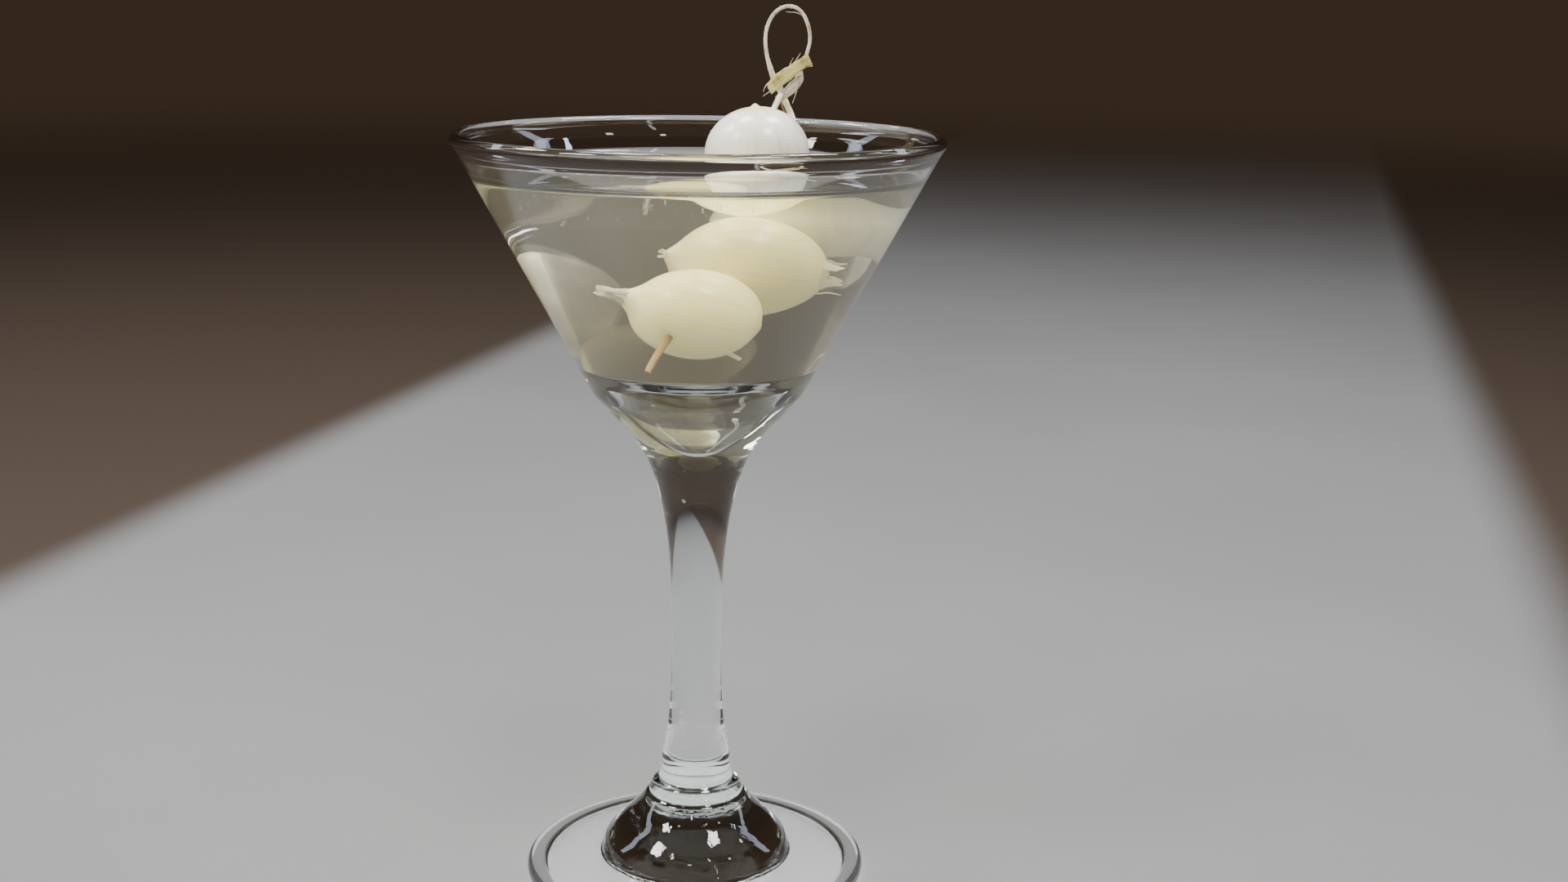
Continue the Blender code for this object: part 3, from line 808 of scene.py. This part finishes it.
def onion_mesh(index, sizes, p):
    """A slightly lobed, ribbed ball, drawn out at its shoot and dented where the pick goes in."""
    name = ONION_NAMES[index]
    _, off, neck, neck_width, lobe = ONION_FORMS[name]
    place = onion_place(index, sizes, p)
    axis_point = place.translation - off
    radius, half = sizes.radii[index], sizes.half_lengths[index]
    # The ribs and the swell are how far the flesh leaves a true ball, and the dimple is at the root
    rib_height, swell_height = 0.07 * MM, 0.22 * MM
    dimple, dimple_width = 0.35 * MM, 0.13
    ring_count, segments, pole = 120, 144, 0.004
    rings, grain = [], []
    for i in range(ring_count + 1):
        lean = pole + (math.pi - 2 * pole) * i / ring_count
        ring, marks = [], []
        for j in range(segments):
            turn = math.tau * j / segments
            lobes = 1 + 0.012 * math.cos(2 * turn + lobe) + 0.007 * math.cos(3 * turn + 2 * lobe)
            around = Vector((math.cos(turn), math.sin(turn), 0.0))
            rib = noise.noise(Vector((around.x * 9, around.y * 9, lean * 0.7 + lobe)))
            swell = noise.noise(Vector((around.x, around.y, math.cos(lean))) * 1.3 + Vector((lobe, 0, 0)))
            relief = (rib_height * rib + swell_height * swell) * math.sin(lean)
            reach = radius * lobes * math.sin(lean) ** 0.97 + relief
            height = half * math.cos(lean) + neck * math.exp(-((lean / neck_width) ** 2))
            height -= dimple * math.exp(-(((math.pi - lean) / dimple_width) ** 2))
            point = place @ (around * reach + Vector((0, 0, height)))
            # The skin puckers in where the pick goes through
            from_pick = (point - axis_point).cross(PICK_WAY).length
            inward = (place.translation - point).normalized()
            point += inward * sizes.pucker * math.exp(-((from_pick / sizes.pucker_reach) ** 2))
            ring.append(point)
            marks.append((around.x * GRAIN_BALL, around.y * GRAIN_BALL, lean * GRAIN_BALL))
        rings.append(ring)
        grain.append(marks)
    return skinned(name + "_flesh", rings, grain)


class MARTINI_OT_onions(bpy.types.Operator):
    """Make the flesh of the three onions."""

    bl_idname = "martini.onions"
    bl_label = "Onions"

    def execute(self, context):
        sizes, p = context.scene.martini_onions, context.scene.martini_pick
        # The two onions under the drink take a copy of the flesh tinted yellow, which is painted light
        # coloured by the drink
        painted_drink_light, brined = "pearl_onion_painted_drink_light", "pearl_onion_brined"
        for index, finish in enumerate((painted_drink_light, painted_drink_light, brined)):
            name = ONION_NAMES[index]
            flesh = tuple(sizes.flesh if finish == brined else sizes.painted_drink_light)
            coat = shared(finish, onion_flesh, finish, flesh, sizes)
            settle(name + "_flesh", onion_mesh(index, sizes, p), name, coat, (name,))
        return {"FINISHED"}


def skin_leaf(name, place, route, widths, thickness, outward, seed):
    """A thin leaf of skin. route lies in the onion's own frame, and outward is where its outer face looks."""
    points = [place @ Vector(r) for r in route]
    facing = [place.to_3x3() @ Vector(outward)] * len(points)
    return strip(name, points, [w * MM for w in widths], thickness, facing, 6, 12, 0.35, seed)


# The shoots: which onion, how many leaves, their length, how far they stand off the axis and their width, in
# millimetres, and then the shares of that width at a leaf's four points
SHOOTS = ((0, 10, 7.4, 1.9, 2.9), (1, 11, 2.6, 1.7, 0.8))
LEAF_WIDTHS = (1.15, 1.0, 0.75, 0.3)

# The flake at the middle onion's root: each leaf's distances off the axis and its widths, in millimetres
FLAKE_STANDS = (4.6, 4.4, 4.0, 4.4)
FLAKE_WIDTHS = (2.6, 2.7, 1.9, 0.5)

# The shred on the lower onion: its start, the steps from there and its widths, in millimetres
SHRED_START = Vector((4.0, -3.0, 138.9))
SHRED_STEPS = ((0.0, 0.0, 0.0), (1.6, 0.2, -1.3), (3.5, 0.3, -2.9))
SHRED_WIDTHS = (0.9, 1.1, 0.8)


class MARTINI_OT_onion_skins(bpy.types.Operator):
    """Make the frayed shoots, the tuft, the loose flakes and the shred of skin on the onions."""

    bl_idname = "martini.onion_skins"
    bl_label = "Onion skins"

    def execute(self, context):
        sizes, p = context.scene.martini_onions, context.scene.martini_pick
        coat = shared("onion_inner_skin_soaked", onion_skin, sizes)
        rand = random.Random(context.scene.martini_stage.seed)
        for index, leaves, long, stand, broad in SHOOTS:
            name = ONION_NAMES[index]
            place = onion_place(index, sizes, p)
            top = sizes.half_lengths[index]
            made = []
            for k in range(leaves):
                turn = math.tau * k / leaves + rand.uniform(-0.2, 0.2)
                out = Vector((math.cos(turn), math.sin(turn), 0))
                run = long * rand.uniform(0.72, 1.0) * MM
                spread = rand.uniform(0.55, 0.95)
                route = [
                    out * stand * 1.2 * MM + Vector((0, 0, top - 1.2 * MM)),
                    out * stand * 0.95 * MM + Vector((0, 0, top + 0.25 * run)),
                    out * stand * 0.8 * spread * MM + Vector((0, 0, top + 0.6 * run)),
                    out * stand * spread * MM + Vector((0, 0, top + run)),
                ]
                widths = [broad * w for w in LEAF_WIDTHS]
                made.append(skin_leaf(f"leaf_{k}", place, route, widths, sizes.skin, out, k + 1))
            settle(name + "_shoot", joined(name + "_shoot", made), name, coat)
        place = onion_place(1, sizes, p)
        low = -sizes.half_lengths[1]
        flake = []
        for k in range(5):
            turn = 1.3 * k + 0.6
            out = Vector((math.cos(turn), math.sin(turn), 0))
            long = rand.uniform(1.4, 2.6) * MM
            heights = (1.1 * MM, 0.2 * MM, -0.4 * long, -long)
            route = [out * s * MM + Vector((0, 0, low + h)) for s, h in zip(FLAKE_STANDS, heights)]
            outward = out + Vector((0, 0, -0.3))
            flake.append(skin_leaf(f"flake_{k}", place, route, FLAKE_WIDTHS, sizes.skin, outward, k + 21))
        settle("onion_middle_flake", joined("onion_middle_flake", flake), "onion_middle", coat)
        route = [(SHRED_START + Vector(step)) * MM for step in SHRED_STEPS]
        widths = [w * MM for w in SHRED_WIDTHS]
        mesh = strip("onion_lower_shred", route, widths, 0.5 * MM, [(0, -1, 0.2)] * 3, 6, 12, 0.2, 31)
        settle("onion_lower_shred", mesh, "onion_lower", coat)
        return {"FINISHED"}


# The pick


class MARTINI_OT_pick_shaft(bpy.types.Operator):
    """Make the round shaft of the pick, blunt at its tip."""

    bl_idname = "martini.pick_shaft"
    bl_label = "Pick shaft"

    def execute(self, context):
        p = context.scene.martini_pick
        tip, end = pick_ends(p)
        turn = PICK_WAY.to_track_quat("Z", "Y").to_matrix()
        steps, sides = 90, 20
        # The knife leaves five long flats
        flats, flat_depth, flat_turn = 5, 0.035, 0.8
        rings, grain = [], []
        for i in range(steps + 1):
            run = (end - tip).length * i / steps
            reach = min(1.0, run / p.point_length)
            radius = p.tip_radius + (p.radius - p.tip_radius) * reach
            ring, marks = [], []
            for j in range(sides):
                way = math.tau * j / sides
                flat = 1 - flat_depth * (1 + math.cos(flats * way + flat_turn)) * reach
                x, y = radius * flat * math.cos(way), radius * flat * math.sin(way)
                ring.append(tip + PICK_WAY * run + turn @ Vector((x, y, 0)))
                marks.append((x / MM, y / MM, run / MM))
            rings.append(ring)
            grain.append(marks)
        mesh = skinned("pick_shaft_bamboo", rings, grain)
        settle("pick_shaft_bamboo", mesh, "pick", split_bamboo(p, "wet"), ("pick_shaft",))
        return {"FINISHED"}


def from_knot(p, places):
    """Places by the knot, in millimetres from the flat end of the shaft: to the right, away and up."""
    end = pick_ends(p)[1]
    return [end + Vector(place) * MM for place in places]


# The folded parts of the knot: the piece, its bamboo, the node it stands for, its thickness in millimetres,
# its sides, rag and seed, and then its route, its widths as shares of the band's and where it faces
KNOT_PARTS = (
    (
        ("knot_band", "skin", ("pick_knot",), 0.55, 18, 0.06, 3),
        (
            (-1.2, 1.6, 1.7),
            (-2.4, 1.1, 0.7),
            (-3.0, 0.0, 0.5),
            (-2.5, -1.2, 1.5),
            (-1.1, -1.6, 2.9),
            (1.0, -1.7, 4.4),
            (3.4, -1.6, 6.1),
            (5.4, -1.3, 7.5),
            (7.1, -1.1, 8.3),
        ),
        (0.5, 0.6, 0.68, 0.85, 1.0, 1.0, 0.88, 0.86, 1.08),
        (
            (0.1, 1.0, 0.1),
            (-0.6, 0.7, -0.4),
            (-0.9, -0.1, -0.5),
            (-0.55, -0.8, -0.2),
            *[(0.15, -1.0, 0.1)] * 5,
        ),
    ),
    (
        ("knot_fold", "heart", (), 0.5, 16, 0.08, 5),
        ((-1.3, -0.4, -1.8), (0.6, -0.9, -0.6), (2.6, -1.0, 1.2), (4.3, -0.7, 3.2), (4.6, 0.5, 5.4)),
        (0.45, 0.7, 0.85, 0.7, 0.5),
        ((0.1, -1.0, -0.1),) * 5,
    ),
    (
        ("knot_back", "heart", (), 0.5, 16, 0.08, 6),
        ((-1.6, 1.3, 2.3), (0.6, 1.8, 3.6), (3.0, 1.6, 5.3), (4.8, 0.8, 6.9), (5.2, -0.6, 7.4)),
        (0.6, 0.75, 0.75, 0.65, 0.5),
        (*[(0.0, 1.0, 0.1)] * 4, (0.6, 0.3, 0.7)),
    ),
)


class MARTINI_OT_pick_knot(bpy.types.Operator):
    """Fold the knot: an outer band of green skin, the fold under it and the one behind it."""

    bl_idname = "martini.pick_knot"
    bl_label = "Knot"

    def execute(self, context):
        p = context.scene.martini_pick
        for (name, part, node, thick, sides, rag, seed), places, shares, facing in KNOT_PARTS:
            widths = [p.band_width * w for w in shares]
            mesh = strip(name, from_knot(p, places), widths, thick * MM, facing, 8, sides, rag, seed)
            settle(name, mesh, "pick", split_bamboo(p, part), node)
        return {"FINISHED"}


# The loop as places across and up from the flat end of the shaft, in millimetres
LOOP_SHAPE = (
    (-0.8, 1.8),
    (-1.9, 3.1),
    (-3.0, 6.0),
    (-3.9, 9.2),
    (-4.3, 12.8),
    (-4.0, 15.8),
    (-3.0, 18.3),
    (-1.6, 20.1),
    (0.2, 21.2),
    (2.1, 21.5),
    (4.1, 20.8),
    (5.6, 19.1),
    (6.6, 16.8),
    (7.1, 14.4),
    (7.0, 12.2),
    (6.5, 10.3),
    (5.9, 8.4),
    (5.0, 6.8),
)
LOOP_WIDTHS = (1.9, 1.8, 1.4, 1.05, *[1.0] * 9, *[0.95] * 5)
LOOP_FACING = (*[(0.1, -1.0, 0.15)] * 4, *[(0.0, -0.9, 0.25)] * 10, *[(0.1, -1.0, 0.1)] * 4)


class MARTINI_OT_pick_loop(bpy.types.Operator):
    """Bend the split strand round into the loop over the knot."""

    bl_idname = "martini.pick_loop"
    bl_label = "Loop"

    def execute(self, context):
        p = context.scene.martini_pick
        # The loop leans back a little as it rises
        lean, upright = 0.2, 3.4
        route = from_knot(p, [(x, lean * (z - upright), z) for x, z in LOOP_SHAPE])
        widths = [p.strand_width * w for w in LOOP_WIDTHS]
        loop = strip("loop_strand", route, widths, p.strand_thickness, LOOP_FACING, 8, 14, 0.1, 9)
        settle("loop_strand", loop, "pick", split_bamboo(p, "heart"), ("pick_loop",))
        return {"FINISHED"}


# The two strips of the tail, as places from the flat end of the shaft, in millimetres
BROAD_TAIL = ((-0.6, 0.3, 1.2), (0.6, -0.6, -1.8), (1.8, -2.6, -4.3), (2.9, -5.0, -7.0))
THIN_TAIL = ((-1.0, -0.4, -0.6), (-0.3, -1.4, -2.6), (0.9, -3.0, -5.6))


class MARTINI_OT_pick_tail(bpy.types.Operator):
    """Hang the split end of the strand from the knot, as a broad strip and a thin darker one."""

    bl_idname = "martini.pick_tail"
    bl_label = "Tail"

    def execute(self, context):
        p = context.scene.martini_pick
        route = from_knot(p, BROAD_TAIL)
        widths = [p.strand_width * w for w in (1.9, 1.9, 1.7, 1.8)]
        tail = strip("tail_broad", route, widths, 0.4 * MM, [(0.1, -1, -0.3)] * 4, 8, 14, 0.12, 12)
        settle("tail_broad", tail, "pick", split_bamboo(p, "heart"), ("pick_tail",))
        route = from_knot(p, THIN_TAIL)
        widths = [w * MM for w in (0.45, 0.5, 0.35)]
        tail = strip("tail_thin", route, widths, 0.3 * MM, [(0, -1, -0.3)] * 3, 8, 12, 0.2, 14)
        settle("tail_thin", tail, "pick", split_bamboo(p, "wet"))
        return {"FINISHED"}


# The hairs that stand off the knot and the loop, as places from the flat end of the shaft, in millimetres
STRAY_FIBRES = (
    ((-2.2, -1.2, 0.6), (-3.7, -1.2, -0.2), (-4.9, -1.0, -1.1)),
    ((-2.9, 0.2, 2.8), (-4.1, 0.0, 1.6), (-4.8, -0.2, 0.0)),
    ((2.6, -0.6, 6.9), (3.7, -0.2, 8.4), (4.7, 0.3, 9.9)),
    ((1.9, -0.4, 6.6), (2.2, -0.2, 7.5), (2.8, 0.0, 8.7)),
    ((4.5, -0.3, 2.4), (3.6, -1.0, -0.2), (2.7, -1.8, -2.7)),
    ((5.7, 3.2, 19.0), (3.6, 3.4, 19.9), (0.9, 3.3, 20.1)),
    ((1.6, 3.5, 21.3), (0.3, 3.5, 21.4), (-0.7, 3.4, 21.5)),
)


class MARTINI_OT_pick_fibres(bpy.types.Operator):
    """Pull stray fibres out of the knot and the loop."""

    bl_idname = "martini.pick_fibres"
    bl_label = "Stray fibres"

    def execute(self, context):
        p = context.scene.martini_pick
        widths = [w * MM for w in (0.22, 0.17, 0.08)]
        made = []
        for k, places in enumerate(STRAY_FIBRES):
            route = from_knot(p, places)
            made.append(strip(f"hair_{k}", route, widths, 0.12 * MM, [(0, -1, 0.2)] * 3, 6, 6, 0.1, k))
        coat = split_bamboo(p, "heart")
        settle("stray_fibres", joined("stray_fibres", made), "pick", coat)
        return {"FINISHED"}


# The bubbles


def bubble_tree(coat):
    """Geometry nodes that set small bubbles on a surface between two heights."""
    tree = bpy.data.node_groups.new("bubbles_on_surface", "GeometryNodeTree")
    face = tree.interface
    face.new_socket("Geometry", in_out="INPUT", socket_type="NodeSocketGeometry")
    for name, kind, value in (
        ("Density", "NodeSocketFloat", 10000.0),
        ("Smallest", "NodeSocketFloat", 0.08 * MM),
        ("Largest", "NodeSocketFloat", 0.3 * MM),
        ("Lowest", "NodeSocketFloat", 0.0),
        ("Highest", "NodeSocketFloat", 1.0),
        ("Inset", "NodeSocketFloat", 0.0),
        ("Seed", "NodeSocketInt", 0),
    ):
        face.new_socket(name, in_out="INPUT", socket_type=kind).default_value = value
    face.new_socket("Geometry", in_out="OUTPUT", socket_type="NodeSocketGeometry")
    take = add_node(tree, "NodeGroupInput").outputs
    values = {"Mesh": take["Geometry"], "Density": take["Density"], "Seed": take["Seed"]}
    spots = add_node(tree, "GeometryNodeDistributePointsOnFaces", values)
    place = add_node(tree, "GeometryNodeInputPosition")
    parts = add_node(tree, "ShaderNodeSeparateXYZ", {"Vector": place.outputs[0]})
    height = parts.outputs["Z"]
    low = add_node(tree, "FunctionNodeCompare", {0: height, 1: take["Lowest"]}, operation="LESS_THAN")
    high = add_node(tree, "FunctionNodeCompare", {0: height, 1: take["Highest"]}, operation="GREATER_THAN")
    values = {0: low.outputs[0], 1: high.outputs[0]}
    outside = add_node(tree, "FunctionNodeBooleanMath", values, operation="OR")
    values = {"Geometry": spots.outputs["Points"], "Selection": outside.outputs[0]}
    kept = add_node(tree, "GeometryNodeDeleteGeometry", values, domain="POINT")
    values = {0: spots.outputs["Normal"], "Scale": take["Inset"]}
    way = add_node(tree, "ShaderNodeVectorMath", values, operation="SCALE")
    values = {"Geometry": kept.outputs[0], "Offset": way.outputs[0]}
    moved = add_node(tree, "GeometryNodeSetPosition", values)
    ball = add_node(tree, "GeometryNodeMeshUVSphere", {"Segments": 8, "Rings": 6, "Radius": 1.0})
    size = add_node(tree, "FunctionNodeRandomValue", {"Seed": take["Seed"]}, data_type="FLOAT")
    tree.links.new(take["Smallest"], size.inputs[2])
    tree.links.new(take["Largest"], size.inputs[3])
    values = {"Points": moved.outputs[0], "Instance": ball.outputs["Mesh"], "Scale": size.outputs[1]}
    copies = add_node(tree, "GeometryNodeInstanceOnPoints", values)
    real = add_node(tree, "GeometryNodeRealizeInstances", {"Geometry": copies.outputs[0]})
    shaded = add_node(tree, "GeometryNodeSetShadeSmooth", {"Geometry": real.outputs[0]})
    coated = add_node(tree, "GeometryNodeSetMaterial", {"Geometry": shaded.outputs[0], "Material": coat})
    out = add_node(tree, "NodeGroupOutput")
    tree.links.new(coated.outputs[0], out.inputs["Geometry"])
    return tree


def grown(name, host, tree, values):
    """The mesh that a tree of geometry nodes makes on a host mesh."""
    carrier = bpy.data.objects.new(name + "_carrier", host)
    bpy.context.scene.collection.objects.link(carrier)
    modifier = carrier.modifiers.new("grow", "NODES")
    modifier.node_group = tree
    ids = {s.name: s.identifier for s in tree.interface.items_tree if s.in_out == "INPUT"}
    for key, value in values.items():
        modifier[ids[key]] = value
    ready = carrier.evaluated_get(bpy.context.evaluated_depsgraph_get())
    mesh = bpy.data.meshes.new_from_object(ready)
    mesh.name = name
    bpy.data.objects.remove(carrier)
    if not mesh.polygons:
        raise RuntimeError(f"{name} came out empty")
    return mesh


class MARTINI_OT_bubbles(bpy.types.Operator):
    """Set fine air bubbles along the meniscus and on the drowned onions."""

    bl_idname = "martini.bubbles"
    bl_label = "Bubbles"

    def execute(self, context):
        d, seed = context.scene.martini_drink, context.scene.martini_stage.seed
        coat = shared("air_bubble", air_bubble)
        tree = bubble_tree(coat)
        # The host, its body, the bubbles per square metre, the lowest, the highest and their lift
        hosts = (
            ("drink_body", "glass", 14000.0, d.level - 1.6 * MM, d.level + 0.5 * MM, -0.35 * MM),
            ("onion_lower_flesh", "onion_lower", 30000.0, 0.0, d.level, 0.05 * MM),
            ("onion_middle_flesh", "onion_middle", 24000.0, 0.0, d.level - 1.0 * MM, 0.05 * MM),
        )
        for host, body, density, low, high, inset in hosts:
            values = {
                "Density": density,
                "Lowest": low,
                "Highest": high,
                "Inset": inset,
                "Seed": seed,
                "Smallest": 0.06 * MM,
                "Largest": 0.2 * MM,
            }
            name = body + "_bubbles"
            mesh = grown(name, bpy.data.objects[host].data, tree, values)
            settle(name, mesh, body, coat)
        return {"FINISHED"}


# The stage

TABLE_REACH = 8.0

# The table runs away from the eye, turned by this, and its middle lies to the left by the shift
TABLE_TURN = math.radians(16.4)
TABLE_SHIFT = 0.033

LOOK_AT = (0.0, 0.0, 0.1)

# The two sides of each lamp
KEY_SIZE = (0.24, 0.24)
SIDE_SIZE = (0.12, 0.7)
STRIP_SIZE = (0.03, 0.7)
SPARK_SIZE = (0.05, 0.05)

# The lens and the sensor are in millimetres
CAMERA_PLACE = (0.0, -0.46766, 0.21944)
CAMERA_LENS = 45.913
CAMERA_SENSOR = 36.0
CAMERA_PITCH = math.radians(13.206)
CAMERA_PAN = math.radians(2.54)
CAMERA_ROLL = math.radians(0.9)


def lamp(name, power, size, place, hex_value):
    """A soft rectangular lamp that looks at the glass and isn't seen itself."""
    data = bpy.data.lights.new(name, "AREA")
    data.shape = "RECTANGLE"
    data.size, data.size_y = size
    data.energy = power
    data.color = linear(hex_value)
    made = bpy.data.objects.new(name, data)
    bpy.context.scene.collection.objects.link(made)
    made.location = place
    made.rotation_euler = (Vector(LOOK_AT) - Vector(place)).to_track_quat("-Z", "Y").to_euler()
    made.visible_camera = False
    return made


def table_top(s):
    """Polished pale quartz: soft sheen and faint clouds. It fades into the dark at its sides and far off."""
    made, tree, out = new_material("quartz_polished")
    place = add_node(tree, "ShaderNodeTexCoord").outputs["Object"]
    # The clouds are about 200 mm wide
    cloud = add_node(tree, "ShaderNodeTexNoise", {"Vector": place, "Scale": 5.0, "Detail": 3.0})
    stops = ((0.35, tuple(0.93 * c for c in s.table)), (0.65, tuple(s.table)))
    shade = add_node(tree, "ShaderNodeValToRGB", {"Fac": cloud.outputs["Fac"]}, stops)
    values = {"Vector": place, "Location": (TABLE_SHIFT, 0, 0), "Rotation": (0, 0, TABLE_TURN)}
    turned = add_node(tree, "ShaderNodeMapping", values)
    parts = add_node(tree, "ShaderNodeSeparateXYZ", {"Vector": turned.outputs[0]})
    aside = add_node(tree, "ShaderNodeMath", {0: parts.outputs["X"]}, operation="ABSOLUTE")
    values = {"Value": aside.outputs[0], "From Min": 0.25, "From Max": 0.29}
    side = add_node(tree, "ShaderNodeMapRange", values, interpolation_type="SMOOTHSTEP")
    values = {"Value": parts.outputs["Y"], "From Min": 0.8, "From Max": 3.5}
    far = add_node(tree, "ShaderNodeMapRange", values, interpolation_type="SMOOTHSTEP")
    away = add_node(tree, "ShaderNodeMath", {0: side.outputs[0], 1: far.outputs[0]}, operation="MAXIMUM")
    values = {0: away.outputs[0], 6: shade.outputs["Color"], 7: (*s.beyond, 1.0)}
    faded = add_node(tree, "ShaderNodeMix", values, data_type="RGBA")
    # Far off in every direction the ground takes the colour of the surround, so no horizon shows
    reach = add_node(tree, "ShaderNodeVectorMath", {0: place}, operation="LENGTH")
    values = {"Value": reach.outputs["Value"], "From Min": 1.0, "From Max": 3.2}
    off = add_node(tree, "ShaderNodeMapRange", values, interpolation_type="SMOOTHSTEP")
    values = {"Base Color": faded.outputs[2], "Roughness": 0.42, "IOR": 1.5}
    stone = add_node(tree, "ShaderNodeBsdfPrincipled", values)
    room = add_node(tree, "ShaderNodeEmission", {"Color": (*s.surround, 1.0)})
    values = {0: off.outputs[0], 1: stone.outputs[0], 2: room.outputs[0]}
    ground = add_node(tree, "ShaderNodeMixShader", values)
    tree.links.new(ground.outputs[0], out.inputs["Surface"])
    return made


def set_table(s):
    """One flat pale ground, of which the table is the part that isn't dark."""
    reach = TABLE_REACH
    corners = [(-reach, -reach, 0), (reach, -reach, 0), (reach, reach, 0), (-reach, reach, 0)]
    mesh = bpy.data.meshes.new("table")
    mesh.from_pydata(corners, [], [(0, 1, 2, 3)])
    mesh.materials.append(table_top(s))
    table = bpy.data.objects.new("table", mesh)
    bpy.context.scene.collection.objects.link(table)


def set_surround(s):
    """A dark room, darker still overhead than behind the table."""
    world = bpy.data.worlds.new("surround")
    world.use_nodes = True
    tree = world.node_tree
    way = add_node(tree, "ShaderNodeTexCoord")
    parts = add_node(tree, "ShaderNodeSeparateXYZ", {"Vector": way.outputs["Generated"]})
    stops = ((0.1, tuple(s.surround)), (0.55, tuple(s.ceiling)))
    walls = add_node(tree, "ShaderNodeValToRGB", {"Fac": parts.outputs["Z"]}, stops)
    tree.links.new(walls.outputs["Color"], tree.nodes["Background"].inputs["Color"])
    bpy.context.scene.world = world


def set_lamps(s):
    """Six even squares overhead, a tall lamp at each side, a strip in front and a ring of small lamps."""
    for k in range(6):
        place = (-0.85 + 0.6 * (k % 3), -0.3 + 0.7 * (k // 3), 1.15)
        key = lamp(f"key_{k}", s.key_power / 6, KEY_SIZE, place, "#FFFCF8")
        # Through the glass only one of them shows, and one isn't mirrored in it either
        key.visible_transmission = k == 3
        key.visible_glossy = k != 1
    for side in (-1, 1):
        lamp(f"side_{side}", s.side_power, SIDE_SIZE, (side * 0.9, 0.25, 0.6), "#DDE8FF")
    lamp("strip", s.strip_power, STRIP_SIZE, (0.45, -0.9, 0.5), "#EEF3FF")
    rand = random.Random(s.seed)
    for k in range(s.sparks):
        turn = math.tau * (k + 0.75) / s.sparks
        place = (0.75 * math.cos(turn), 0.1 + 0.8 * math.sin(turn), rand.uniform(0.75, 1.3))
        hex_value = ("#FFE9CF", "#FFDFC6", "#D6E4FF")[k % 3]
        # The small lamps are mirrored in the glass, and don't show through it
        spark = lamp(f"spark_{k}", s.spark_power, SPARK_SIZE, place, hex_value)
        spark.visible_transmission = False


def set_camera():
    """The view from the front, a little above the rim and slightly tilted."""
    data = bpy.data.cameras.new("camera")
    data.sensor_width = CAMERA_SENSOR
    data.lens = CAMERA_LENS
    camera = bpy.data.objects.new("camera", data)
    bpy.context.scene.collection.objects.link(camera)
    pitch, pan, roll = CAMERA_PITCH, CAMERA_PAN, CAMERA_ROLL
    ahead = Vector((math.sin(pan) * math.cos(pitch), math.cos(pan) * math.cos(pitch), -math.sin(pitch)))
    right = Vector((math.cos(pan), -math.sin(pan), 0.0))
    up = right.cross(ahead)
    x_axis = math.cos(roll) * right + math.sin(roll) * up
    y_axis = -math.sin(roll) * right + math.cos(roll) * up
    turn = Matrix((x_axis, y_axis, -ahead)).transposed().to_4x4()
    camera.matrix_world = Matrix.Translation(CAMERA_PLACE) @ turn
    bpy.context.scene.camera = camera


class MARTINI_OT_stage(bpy.types.Operator):
    """Set the pale table, the dark surround, the soft lamps and the camera."""

    bl_idname = "martini.stage"
    bl_label = "Stage"

    def execute(self, context):
        s = context.scene.martini_stage
        set_table(s)
        set_surround(s)
        set_lamps(s)
        set_camera()
        return {"FINISHED"}


class MARTINI_PT_sidebar(bpy.types.Panel):
    """Lists the pieces and the stage."""

    bl_idname = "MARTINI_PT_sidebar"
    bl_label = "Martini glass"
    bl_space_type = "VIEW_3D"
    bl_region_type = "UI"
    bl_category = "Martini"

    def draw(self, context):
        for operator in OPERATORS:
            self.layout.operator(operator.bl_idname)


OPERATORS = (
    MARTINI_OT_stage,
    MARTINI_OT_glass,
    MARTINI_OT_drink,
    MARTINI_OT_onions,
    MARTINI_OT_onion_skins,
    MARTINI_OT_pick_shaft,
    MARTINI_OT_pick_knot,
    MARTINI_OT_pick_loop,
    MARTINI_OT_pick_tail,
    MARTINI_OT_pick_fibres,
    MARTINI_OT_bubbles,
)

SETTINGS = {
    "martini_glass": GlassSizes,
    "martini_drink": DrinkSizes,
    "martini_onions": OnionSizes,
    "martini_pick": PickSizes,
    "martini_stage": StageSettings,
}


def register():
    for made in (*SETTINGS.values(), *OPERATORS, MARTINI_PT_sidebar):
        bpy.utils.register_class(made)
    for name, group in SETTINGS.items():
        setattr(bpy.types.Scene, name, PointerProperty(type=group))


def unregister():
    for name in SETTINGS:
        delattr(bpy.types.Scene, name)
    for made in reversed((*SETTINGS.values(), *OPERATORS, MARTINI_PT_sidebar)):
        bpy.utils.unregister_class(made)


def main():
    register()
    for operator in OPERATORS:
        getattr(bpy.ops.martini, operator.bl_idname.split(".")[1])()


if __name__ == "__main__":
    main()
